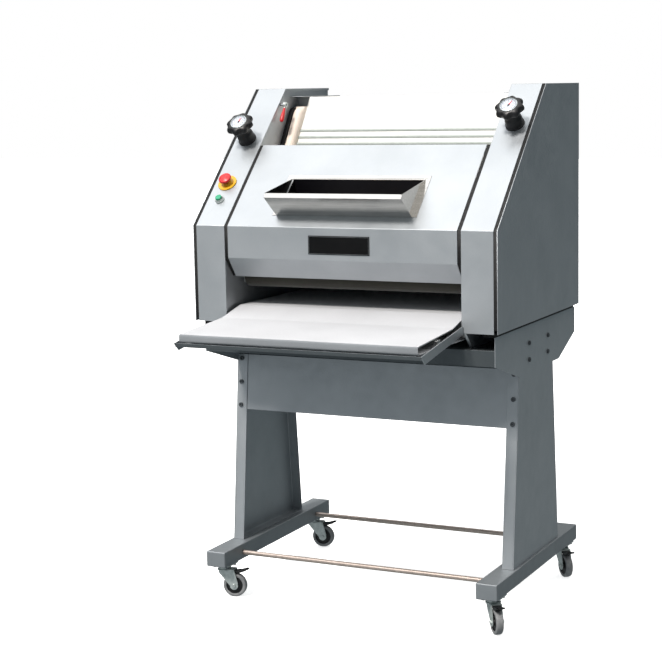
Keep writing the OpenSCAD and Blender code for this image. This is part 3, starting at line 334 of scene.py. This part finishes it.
# Sheet, bar and moulded solids: finish, radius of cut edges and radius of folds in mm
dressed = {
    "leg_left": (silverPaint, 0.5, 1.6),
    "leg_right": (silverPaint, 0.5, 1.6),
    "front_apron": (silverPaint, 0.5, 1.4),
    "foot_beams": (dimSilverPaint, 0, 3.5),
    "tie_rods": (drawnSteel, 0.8),
    "stand_bolts": (darkSteel, 0.5),
    "caster_plates": (zinc, 0.6),
    # the tray's grey paint, darkened as painted shade
    "base_tray": (greyShadePaint, 0.5, 1.2),
    "side_frame_left": (silverPaint, 0.6),
    "side_frame_right": (silverPaint, 0.6),
    "rear_guide": (stainless, 0.4),
    "rear_panel": (silverPaint, 0.5),
    "front_strip_left": (silverPaint, 0.5, 1.4),
    "front_strip_right": (silverPaint, 0.5, 1.4),
    "side_cover_left": (silverPaint, 0.6),
    "side_cover_right": (silverPaint, 0.6),
    "cover_seals": (seal, 1.6),
    "hood": (silverPaint, 0.5, 1.6),
    "hood_seals": (seal, 1.6),
    "roller_carrier": (stainless, 0.8),
    "infeed_roller_front": (creamNylon, 0.8),
    "infeed_roller_rear": (creamNylon, 0.8),
    "drive_drum": (stainless, 0.8),
    "outfeed_bed": (stainless, 0.5),
    "upper_carriage": (stainless, 0.6),
    "upper_roller_front": (stainless, 0.8),
    "upper_roller_rear": (stainless, 0.8),
    "gearmotor": (blueCasting, 2.0),
    "motor_pulley": (stainless, 0.8),
    "drive_belts": (seal, 0.6),
    "estop_stem": (stainless, 0.4),
}
for node, settings in dressed.items():
    dress(node, *settings)
print("solids dressed:", len(dressed))


# Outfeed tray: silver arms and floor, the front lip and arm tips in the darker grey as painted shade
traySizes = {"cut": 0.5, "fold": 1.0, "facing": -0.5}
outfeedTray = dress("outfeed_tray", [silverPaint, greyShadePaint], traySizes["cut"], traySizes["fold"])
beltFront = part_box("lower_belt")[0].y
# front-facing faces ahead of the belt get the darker grey: painted shade
for face in outfeedTray.data.polygons:
    if face.normal.y < traySizes["facing"] and face.center.y < beltFront:
        face.material_index = 1


# Black rubber strips between the leg heads and the housing: painted shade where the housing shades the leg heads
shadeStripSizes = {"edge": 0.8, "wide": 5.2, "front": 35}
shadeStrips = bmesh.new()
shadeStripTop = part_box("side_cover_left")[0].z
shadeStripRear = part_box("rear_panel")[0].y
shadeStripWide = shadeStripSizes["wide"] * mm
for leg in ("leg_left", "leg_right"):
    legLow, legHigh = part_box(leg)
    corner = legLow.y + shadeStripSizes["front"] * mm
    rail = (legHigh.x - shadeStripWide, legHigh.x)  # along the outer edge, clear of the drive inside
    if legLow.x < 0:
        rail = (legLow.x, legLow.x + shadeStripWide)
    strips = [((legLow.x, legHigh.x), legLow.y, corner), (rail, corner, shadeStripRear)]
    for (left, right), near, far in strips:
        middle = Vector((left + right, near + far, legHigh.z + shadeStripTop)) / 2
        block = Matrix.Diagonal((right - left, far - near, shadeStripTop - legHigh.z, 1))
        bmesh.ops.create_cube(shadeStrips, size=1, matrix=Matrix.Translation(middle) @ block)
bevelEdges(shadeStrips, sharpEdges(shadeStrips, least=60), shadeStripSizes["edge"] * mm)
# the black strips are painted shade
makePiece("painted_shade_strips", shadeStrips, seal, "root")


# Top cover: white plate with three ribs whose tops are painted grey as painted shade
coverSizes = {"edge": 0.5, "edgeLong": 100, "proud": 0.6, "slack": 0.1, "ribEnd": 0.3, "ribNear": 4.2,
              "ribWide": 1.5, "plateFront": -0.5, "plateRise": 0.2}  # the plate looks forward and up
cover = solidCopy("top_cover")
plate = max((f for f in cover.faces if f.normal.y < coverSizes["plateFront"]
             and f.normal.z > coverSizes["plateRise"]), key=lambda f: f.calc_area())
plateAt = plate.calc_center_median()
plateWay = plate.normal.copy()
plateUp = plateWay.cross((1, 0, 0))


def abovePlate(point):
    return (point - plateAt).dot(plateWay)


# proud rib faces get the grey: painted shade
for face in cover.faces:
    if abovePlate(face.calc_center_median()) > coverSizes["proud"] * mm and face.normal.dot(plateWay) > 0:
        face.material_index = 1
half = max(v.co.x for v in cover.verts) - coverSizes["ribEnd"] * mm
crest = max(abovePlate(v.co) for v in cover.verts)
crests = [v.co.copy() for v in cover.verts if abovePlate(v.co) > crest - coverSizes["slack"] * mm]
for vert in cover.verts:
    off = min(((vert.co - top).dot(plateUp) for top in crests), key=abs)
    if abs(off) < coverSizes["ribNear"] * mm and abovePlate(vert.co) > -coverSizes["slack"] * mm:
        vert.co += plateUp * off * (coverSizes["ribWide"] - 1)  # flatter than half round
        vert.co.x = half if vert.co.x > 0 else -half  # the ribs run right across to the cheeks
longEdges = [e for e in sharpEdges(cover, least=60) if e.calc_length() > coverSizes["edgeLong"] * mm]
bevelEdges(cover, longEdges, coverSizes["edge"] * mm)
replaceNode("top_cover", "top_cover_finished", cover, [whiteEnamel, ribShadeGrey])


# Cheeks: moulded blocks with well rounded front edges
cheekSizes = {"round": 14, "segments": 8, "side": 0.9, "front": -0.2}  # side and front faces by normal
cheeks = solidCopy("cover_cheeks")
rims = [e for e in sharpEdges(cheeks, least=60)
        if any(abs(f.normal.x) > cheekSizes["side"] for f in e.link_faces)
        and any(f.normal.y < cheekSizes["front"] for f in e.link_faces)]
bevelEdges(cheeks, rims, cheekSizes["round"] * mm, cheekSizes["segments"])
replaceNode("cover_cheeks", "cover_cheeks_moulded", cheeks, creamNylon)


# Hopper: polished sheet, lip leaning back, and a near-black coat inside and on the chute behind the slope as
# painted shade
hopperSizes = {"edge": 0.4, "lipHigh": 13, "lipDeep": 2.2, "lipLean": 9, "shadeFrom": 2, "shadeFacing": 0.25}
slopePoint = Vector(joints["estop_twist"]["pos_m"])  # on the sloped front, with slopeWay out of it
slopeWay = Vector(joints["handwheel_left_turn"]["axis"])
hopper = solidCopy("hopper")
bevelEdges(hopper, sharpEdges(hopper, least=50), hopperSizes["edge"] * mm)
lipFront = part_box("hopper")[0].y
lipVerts = [v for v in hopper.verts if v.co.y < lipFront + hopperSizes["lipDeep"] * mm]
lipFoot = max(v.co.z for v in lipVerts) - hopperSizes["lipHigh"] * mm
for vert in lipVerts:
    vert.co.y += max(0, (vert.co.z - lipFoot) / hopperSizes["lipHigh"]) * hopperSizes["lipLean"]
# faces behind the slope or facing inward get the near-black coat: painted shade
for face in hopper.faces:
    middle = face.calc_center_median()
    behind = -(middle - slopePoint).dot(slopeWay)
    inward = -face.normal.x if middle.x > 0 else face.normal.x
    if behind > hopperSizes["shadeFrom"] * mm or inward > hopperSizes["shadeFacing"]:
        face.material_index = 1
replaceNode("hopper", "hopper_polished", hopper, [mirrorStainless, insideShadeCoat])
print("tray, packing, cover and hopper shaped")


# Felt belts: soft edges, a squarer nose, and a slight ripple on the open table; the nose front is painted shade
beltSizes = {"edge": 0.9, "cuts": 28, "ripple": 1.4, "wave": 110, "tableBack": -240, "fade": 100,
             "noseHigh": 25, "noseSquare": 4, "noseFacing": -0.6}
# the upper belt's dark felt is painted shade
beltFinish = {"lower_belt": [felt, noseShadeFelt], "upper_belt": upperShadeFelt}
tableBack = beltSizes["tableBack"] * mm
noseRadius = beltSizes["noseHigh"] / 2 * mm
power = beltSizes["noseSquare"]  # 2 is round
for node, finish in beltFinish.items():
    hasNose = node == "lower_belt"
    belt = solidCopy(node)
    bevelEdges(belt, sharpEdges(belt, least=60), beltSizes["edge"] * mm)
    beltLow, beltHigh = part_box(node)
    for i in range(1, beltSizes["cuts"]):
        across = beltLow.x + (beltHigh.x - beltLow.x) * i / beltSizes["cuts"]
        bmesh.ops.bisect_plane(belt, geom=belt.verts[:] + belt.edges[:] + belt.faces[:],
                               plane_co=(across, 0, 0), plane_no=(1, 0, 0))
    noseBack = beltLow.y + noseRadius
    noseLow = min(v.co.z for v in belt.verts if v.co.y < noseBack)
    for vert in belt.verts:
        out = (noseBack - vert.co.y) / noseRadius
        up = (vert.co.z - noseLow - noseRadius) / noseRadius
        if hasNose and out > 0:
            grow = hypot(out, up) / (abs(out) ** power + abs(up) ** power) ** (1 / power)
            vert.co.y = beltLow.y + noseRadius * (1 - out * grow)
            vert.co.z = noseLow + noseRadius * (1 + up * grow)
        if vert.co.y < tableBack:
            fade = min(1, (tableBack - vert.co.y) / (beltSizes["fade"] * mm))
            lift = 0.5 + 0.5 * noise.noise(vert.co * perMetre(beltSizes["wave"]))  # from 0 to 1
            vert.co.z += fade * lift * beltSizes["ripple"] * mm
    # front-facing nose faces get the grey felt: painted shade
    for face in belt.faces:
        noseShade = face.calc_center_median().y < noseBack and face.normal.y < beltSizes["noseFacing"]
        if hasNose and noseShade:
            face.material_index = 1
    replaceNode(node, node + "_felt", belt, finish)
print("belts laid")


# Handwheels: scalloped black knobs on steel spindles, profiles in mm above the slope
handwheelSizes = {
    "knob": [(7.2, 50.8), (17, 50.8), (19, 52.5), (19.5, 56), (33, 57.2), (39, 58.6), (41, 61.5), (41.5, 66),
             (41, 71), (38.5, 75.5), (34.5, 78.8), (30, 80.1), (28.2, 80.2), (27.3, 79.4), (27.2, 71.4),
             (7.2, 71.4)],
    "spindle": [(0, -89.5), (6.2, -89.5), (7, -88.7), (7, 55), (0, 55)],
    "collar": [(7.8, 0.2), (29, 0.2), (29, 4), (28.2, 5), (27, 5.4), (26.6, 8), (26, 24), (24.6, 29),
               (22, 33), (20.6, 38), (20.4, 47), (19.8, 49.4), (18.6, 50), (7.8, 50)],
    "lobes": 8, "lobeDepth": 0.084, "lobeFrom": 30, "lobeFull": 41.5,
}
wheelPlaces = {}
for side in ("left", "right"):
    wheelTurn = joints[f"handwheel_{side}_turn"]
    wheelPlaces[side] = standAt(wheelTurn["pos_m"], wheelTurn["axis"])
lobeSpan = handwheelSizes["lobeFull"] - handwheelSizes["lobeFrom"]
for side, place in wheelPlaces.items():
    node = "handwheel_" + side
    knob = lathe(handwheelSizes["knob"], steps=128, closed=True)
    for vert in knob.verts:
        reach = hypot(vert.co.x, vert.co.y) / mm - handwheelSizes["lobeFrom"]
        share = min(max(reach / lobeSpan, 0), 1)
        wave = cos(handwheelSizes["lobes"] * atan2(vert.co.y, vert.co.x))
        swell = 1 + handwheelSizes["lobeDepth"] * share * wave
        vert.co.x *= swell
        vert.co.y *= swell
    replaceNode(node, f"knob_{side}", knob, blackNylon, place)
    spindle = lathe(handwheelSizes["spindle"], steps=32)
    makePiece(f"spindle_{side}", spindle, stainless, bodyOf[node], place=place)
collars = gather([(lathe(handwheelSizes["collar"], closed=True), place) for place in wheelPlaces.values()])
replaceNode("spindle_collars", "collars", collars, blackNylon)


# Dial gauges: bezel, white dial, fine scale with plain numbers, red pointer
gaugeSizes = {
    "bezel": [(25.3, 71.6), (26.9, 71.6), (26.9, 80.4), (26.3, 81.1), (25.8, 81.2), (25.3, 80.7)],
    "dial": [(0, 78.4), (25.4, 78.4), (25.4, 76.5), (0, 76.5)],
    "hub": [(0, 80.2), (2.2, 80.2), (2.8, 79.6), (2.8, 78.3)],
    "face": 78.4, "sweep": 270,
    "marks": 45, "longEvery": 5, "markOut": 23.8, "markLong": 5.2, "markShort": 3.4, "markWide": 0.8,
    "markDeep": 0.3, "numbers": 10, "numberAt": 15.2, "numberHigh": 5.4, "numberDeep": 0.1,
    "pointer": 19.0, "pointerTail": 7.0, "pointerWide": 2.4, "pointerTip": 0.3, "pointerThick": 0.4,
    "pointerLift": 0.9, "reading": {"left": 8, "right": 22},
}


def numberShape(text):
    curve = bpy.data.curves.new("number", "FONT")
    curve.body = text
    curve.size = gaugeSizes["numberHigh"] * mm
    curve.align_x = "CENTER"
    curve.align_y = "CENTER"
    curve.extrude = gaugeSizes["numberDeep"] * mm
    holder = bpy.data.objects.new("number", curve)
    bpy.context.scene.collection.objects.link(holder)
    mesh = bpy.data.meshes.new_from_object(holder.evaluated_get(bpy.context.evaluated_depsgraph_get()))
    bm = bmesh.new()
    bm.from_mesh(mesh)
    bpy.data.objects.remove(holder)
    bpy.data.curves.remove(curve)
    bpy.data.meshes.remove(mesh)
    return bm


def blade(length):  # a flat tapered pointer along Y from the origin
    wide = gaugeSizes["pointerWide"]
    bm = bmesh.new()
    bmesh.ops.create_cone(bm, cap_ends=True, segments=4, radius1=wide * mm,
                          radius2=gaugeSizes["pointerTip"] * mm, depth=length * mm)
    flat = Matrix.Diagonal((1, 1, gaugeSizes["pointerThick"] / wide, 1))
    lie = flat @ Matrix.Rotation(radians(-90), 4, "X")
    bmesh.ops.transform(bm, matrix=Matrix.Translation((0, length / 2 * mm, 0)) @ lie, verts=bm.verts)
    return bm


for side, place in wheelPlaces.items():
    node = "gauge_" + side
    body = bodyOf[node]
    faceHigh = Matrix.Translation((0, 0, gaugeSizes["face"] * mm))
    onFace = place @ faceHigh
    replaceNode(node, f"dial_{side}", lathe(gaugeSizes["dial"]), dialWhite, place)
    makePiece(f"bezel_{side}", lathe(gaugeSizes["bezel"], closed=True), zinc, body, place=place)
    marks = []
    for i in range(gaugeSizes["marks"] + 1):
        angle = radians(gaugeSizes["sweep"] * (0.5 - i / gaugeSizes["marks"]))
        size = gaugeSizes["markShort"] if i % gaugeSizes["longEvery"] else gaugeSizes["markLong"]
        bar = bmesh.new()
        bmesh.ops.create_cube(bar, size=mm)
        outward = Matrix.Translation((0, (gaugeSizes["markOut"] - size / 2) * mm, 0))
        shape = Matrix.Diagonal((gaugeSizes["markWide"], size, gaugeSizes["markDeep"], 1))
        marks.append((bar, Matrix.Rotation(angle, 4, "Z") @ outward @ shape))
    for i in range(gaugeSizes["numbers"]):
        angle = radians(gaugeSizes["sweep"] * (i / (gaugeSizes["numbers"] - 1) - 0.5))
        at = Vector((sin(angle), cos(angle), 0)) * gaugeSizes["numberAt"] * mm
        marks.append((numberShape(str(i)), Matrix.Translation(at)))
    makePiece(f"dial_scale_{side}", gather(marks), dialInk, body, place=onFace)
    reading = Matrix.Rotation(radians(-gaugeSizes["reading"][side]), 4, "Z")
    needleAt = reading @ Matrix.Translation((0, 0, gaugeSizes["pointerLift"] * mm))
    needle = blade(gaugeSizes["pointer"])
    makePiece(f"dial_pointer_{side}", needle, redPlastic, body, place=onFace @ needleAt)
    tail = gather([(blade(gaugeSizes["pointerTail"]), needleAt @ Matrix.Rotation(pi, 4, "Z")),
                   (lathe(gaugeSizes["hub"], steps=24), faceHigh.inverted())])
    makePiece(f"dial_hub_{side}", tail, dialInk, body, place=onFace)
print("handwheels and gauges fitted")


# Push buttons on the left strip, profiles in mm above the slope
buttonSizes = {
    "estop_base": [(0, -39.8), (13.8, -39.8), (13.8, 0.1), (29.3, 0.1), (30, 0.8), (30, 2.8), (29.2, 3.8),
                   (27.6, 4), (16, 4.2), (14.4, 5), (13.8, 7.4), (13, 8), (5.5, 8), (5.5, -34.8),
                   (0, -34.8)],
    "estop_head": [(0, 22.4), (4.2, 22.4), (4.2, 13.8), (13, 13.8), (14.6, 14.3), (15.8, 16), (17, 18),
                   (19.2, 19.2), (20, 20.4), (20, 23.4), (19.4, 25.2), (17.6, 26.6), (16.6, 26.8),
                   (16, 26.6), (13.5, 27.6), (8, 29), (0, 29.7)],
    "start_bezel": [(0, -39.8), (12.4, -39.8), (12.4, 0.1), (13.8, 0.1), (14.5, 0.8), (14.5, 3.8),
                    (13.8, 4.8), (12.6, 5.4), (12.4, 9), (11.8, 9.9), (10.9, 9.9), (10.4, 9.2),
                    (10.4, -19.8), (0, -19.8)],
    "start_cap": [(0, -14.8), (10, -14.8), (10, 13.6), (9.4, 15), (8, 15.8), (6.4, 15.6), (0, 15.2)],
    "startDown": 69,
}
slopeFrame = standAt(slopePoint, slopeWay)
startFrame = slopeFrame @ Matrix.Translation((0, -buttonSizes["startDown"] * mm, 0))
buttons = {"estop_base": (yellowPlastic, slopeFrame), "estop_head": (redPlastic, slopeFrame),
           "start_bezel": (zinc, startFrame), "start_cap": (greenPlastic, startFrame)}
for node, (finish, place) in buttons.items():
    replaceNode(node, node + "_turned", lathe(buttonSizes[node]), finish, place)


# Lever: zinc eye and rod, red grip, profiles in mm along the rod
leverSizes = {
    "eye": [(4.3, -4.8), (8.2, -4.8), (9, -4), (9, 4), (8.2, 4.8), (4.3, 4.8)],
    "rod": [(0, 7), (3, 7), (3, 14), (0, 14)],
    "grip": [(0, 12), (3.4, 12), (3.8, 13), (4.4, 24), (6, 34), (6.8, 44), (6.6, 53), (5.6, 57.6),
             (3.4, 59.6), (0, 60)],
    "lean": 29,
}
pivot = joints["latch_swing"]["pos_m"]
lean = radians(leverSizes["lean"])
rodFrame = standAt(pivot, (0, -sin(lean), -cos(lean)))
eyeFrame = standAt(pivot, (1, 0, 0), (0, 1, 0))
arm = gather([(lathe(leverSizes["eye"], steps=40, closed=True), eyeFrame),
              (lathe(leverSizes["rod"], steps=24), rodFrame)])
replaceNode("latch_lever", "lever_arm", arm, zinc)
grip = lathe(leverSizes["grip"], steps=32)
makePiece("lever_grip", grip, redPlastic, bodyOf["latch_lever"], place=rodFrame)
print("buttons and lever fitted")


# Casters: fork, axle nuts, tyre, hub and brake pedal with an upturned toe; profiles in mm round the axle
casterSizes = {
    "tyre": [(27, -9.5), (29, -11), (33.5, -11), (36.2, -9.4), (37.2, -6.5), (37.5, 0), (37.2, 6.5),
             (36.2, 9.4), (33.5, 11), (29, 11), (27, 9.5)],
    "hub": [(4.3, -13.4), (8.5, -13.4), (9.5, -12.5), (10.5, -8), (24, -6.5), (25.5, -9), (27.2, -9.4),
            (27.2, 9.4), (25.5, 9), (24, 6.5), (10.5, 8), (9.5, 12.5), (8.5, 13.4), (4.3, 13.4)],
    "steps": 72, "forkEdge": 0.5, "nutRadius": 6.6, "nutThick": 4.2, "nutOut": 18.7, "nutEdge": 0.6,
    "pedalEdge": 0.8, "toeFrom": 18, "toeRise": 0.45,
}
for tag in ("fl", "fr", "rl", "rr"):
    fork = "caster_fork_" + tag
    wheel = "caster_wheel_" + tag
    pedal = "brake_pedal_" + tag
    roll = joints["roll_" + tag]
    brake = joints["brake_" + tag]
    axle = standAt(roll["pos_m"], roll["axis"], (0, 0, 1))
    dress(fork, zinc, casterSizes["forkEdge"])
    nutRadius = casterSizes["nutRadius"] * mm
    nuts = []
    for out in (-casterSizes["nutOut"], casterSizes["nutOut"]):
        nut = bmesh.new()
        bmesh.ops.create_cone(nut, cap_ends=True, segments=6, radius1=nutRadius, radius2=nutRadius,
                              depth=casterSizes["nutThick"] * mm)
        bevelEdges(nut, sharpEdges(nut, least=80), casterSizes["nutEdge"] * mm)
        nuts.append((nut, Matrix.Translation((0, 0, out * mm))))
    makePiece("axle_nuts_" + tag, gather(nuts), zinc, bodyOf[fork], place=axle)
    tyre = lathe(casterSizes["tyre"], casterSizes["steps"], closed=True)
    replaceNode(wheel, "tyre_" + tag, tyre, tyreGrey, axle)
    hub = lathe(casterSizes["hub"], casterSizes["steps"], closed=True)
    makePiece("hub_" + tag, hub, blackHub, bodyOf[wheel], place=axle)
    tread = solidCopy(pedal)
    bevelEdges(tread, sharpEdges(tread, least=40), casterSizes["pedalEdge"] * mm)
    hinge = Vector(brake["pos_m"])
    along = Vector(brake["axis"]).cross((0, 0, 1))
    if sum((vert.co - hinge).dot(along) for vert in tread.verts) < 0:
        along = -along
    for vert in tread.verts:
        beyond = (vert.co - hinge).dot(along) - casterSizes["toeFrom"] * mm
        vert.co.z += max(0, beyond) * casterSizes["toeRise"]
    replaceNode(pedal, pedal + "_moulded", tread, blackNylon)
print("casters fitted")


# Blank plate on the fascia: black with a bright border line
plateSizes = {"edge": 0.5, "margin": 2.6, "line": 0.9, "facing": -0.9}
blank = solidCopy("nameplate")
bevelEdges(blank, sharpEdges(blank, least=60), plateSizes["edge"] * mm)
blankFront = max((f for f in blank.faces if f.normal.y < plateSizes["facing"]), key=lambda f: f.calc_area())
bmesh.ops.inset_individual(blank, faces=[blankFront], thickness=plateSizes["margin"] * mm)
border = bmesh.ops.inset_individual(blank, faces=[blankFront], thickness=plateSizes["line"] * mm)
for face in border["faces"]:
    face.material_index = 1
blankFront.material_index = 0
replaceNode("nameplate", "blank_plate", blank, [blackPlate, stainless])


# Screws that hold the rear panel
screwSizes = {"head": [(0, 2.4), (1.6, 2.3), (3.4, 1.6), (4.4, 0.4), (4.4, -0.5)], "edge": 14, "rows": 5,
              "columns": 3}
panelLow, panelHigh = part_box("rear_panel")
panelSize = panelHigh - panelLow
screwEdge = screwSizes["edge"] * mm
spots = []
for end in (-1, 1):
    for i in range(screwSizes["rows"]):
        screwHigh = panelLow.z + panelSize.z * (i + 0.5) / screwSizes["rows"]
        spots.append((end * (panelHigh.x - screwEdge), screwHigh))
for i in range(screwSizes["columns"]):
    screwAcross = panelLow.x + panelSize.x * (i + 1) / (screwSizes["columns"] + 1)
    spots.append((screwAcross, panelLow.z + screwEdge))
screws = gather([(lathe(screwSizes["head"], steps=24), standAt((x, panelHigh.y, z), (0, 1, 0)))
                 for x, z in spots])
makePiece("rear_screws", screws, zinc, "root")
print("plate and screws fitted")


# Pale floor that glows to the white of the surround
surround = {"seen": "#ffffff", "sky": "#ecebe9", "horizon": "#37444a", "ground": "#8e9495", "strength": 1.4,
            "groundFull": -0.45, "skyFrom": 0.25, "skyFull": 0.85}
floorSizes = {"across": 60.0, "glow": 0.7}  # metres, and strength
floorShape = bmesh.new()
bmesh.ops.create_grid(floorShape, x_segments=2, y_segments=2, size=floorSizes["across"] / 2)
floorMesh = bpy.data.meshes.new("floor")
floorShape.to_mesh(floorMesh)
floorShape.free()
paleFloor = enamel("pale studio floor", "#f6f6f5", "#f1f1f0", 0.8)
floorShader = paleFloor.node_tree.nodes["Principled BSDF"]
floorShader.inputs["Emission Color"].default_value = srgb(surround["seen"])
floorShader.inputs["Emission Strength"].default_value = floorSizes["glow"]
floorMesh.materials.append(paleFloor)
floor = bpy.data.objects.new("floor", floorMesh)
bpy.context.scene.collection.objects.link(floor)
floor.visible_diffuse = False  # the machine gets no glare from below
floor.visible_glossy = False


# Studio lights
lights = {  # height and left turn in degrees, softness in degrees, strength, colour
    "key": (50, 10, 11, 3.4, "#fffaf5"),
    "front": (12, 24, 70, 0.34, "#f7faff"),
    "overhead": (64, 70, 50, 0.6, "#f4f8ff"),
}
for name, (lampHigh, lampLeft, softness, strength, colour) in lights.items():
    lamp = bpy.data.lights.new(name, "SUN")
    lamp.angle = radians(softness)
    lamp.energy = strength
    lamp.color = srgb(colour)[:3]
    lampObject = bpy.data.objects.new(name, lamp)
    lampObject.rotation_euler = (radians(90 - lampHigh), 0, radians(-lampLeft))
    bpy.context.scene.collection.objects.link(lampObject)


# Surround: pale above, dark round the horizon, grey below, and plain white behind the machine
world = bpy.data.worlds.new("studio")
world.use_nodes = True
sky = world.node_tree
lit = sky.nodes["Background"]
lit.inputs["Strength"].default_value = surround["strength"]
gaze = addNode(sky, "ShaderNodeTexCoord").outputs["Generated"]
upward = addNode(sky, "ShaderNodeSeparateXYZ", {"Vector": gaze}).outputs["Z"]
overGround = addNode(sky, "ShaderNodeMapRange",
                     {"Value": upward, "From Min": surround["groundFull"], "From Max": 0.0}).outputs[0]
intoSky = addNode(sky, "ShaderNodeMapRange", {"Value": upward, "From Min": surround["skyFrom"],
                                              "From Max": surround["skyFull"]}).outputs[0]
lower = addNode(sky, "ShaderNodeMix", {"Factor": overGround, "A": srgb(surround["ground"]),
                                       "B": srgb(surround["horizon"])}, data_type="RGBA").outputs["Result"]
shade = addNode(sky, "ShaderNodeMix", {"Factor": intoSky, "A": lower, "B": srgb(surround["sky"])},
                data_type="RGBA").outputs["Result"]
sky.links.new(shade, lit.inputs["Color"])
seen = addNode(sky, "ShaderNodeBackground", {"Color": srgb(surround["seen"]), "Strength": 1.0})
direct = addNode(sky, "ShaderNodeLightPath").outputs["Is Camera Ray"]
backdrop = addNode(sky, "ShaderNodeMixShader", {0: direct, 1: lit.outputs[0], 2: seen.outputs[0]})
sky.links.new(backdrop.outputs[0], sky.nodes["World Output"].inputs["Surface"])
bpy.context.scene.world = world


# Camera at the photograph's place: metres, degrees, and mm of lens and sensor
viewpoint = {"place": (2.117, -4.560, 1.567), "yaw": 26.32, "pitch": 8.04, "roll": -1.15, "lens": 90.7,
             "sensor": 36}
lens = bpy.data.cameras.new("photo camera")
lens.sensor_fit = "HORIZONTAL"
lens.sensor_width = viewpoint["sensor"]
lens.lens = viewpoint["lens"]
camera = bpy.data.objects.new("photo camera", lens)
aim = (Matrix.Rotation(radians(viewpoint["yaw"]), 4, "Z")
       @ Matrix.Rotation(radians(90 - viewpoint["pitch"]), 4, "X")
       @ Matrix.Rotation(radians(viewpoint["roll"]), 4, "Z"))
camera.matrix_world = Matrix.Translation(viewpoint["place"]) @ aim
bpy.context.scene.collection.objects.link(camera)
bpy.context.scene.camera = camera
bpy.context.scene.view_settings.view_transform = "Standard"
print("stage, lights and camera set")
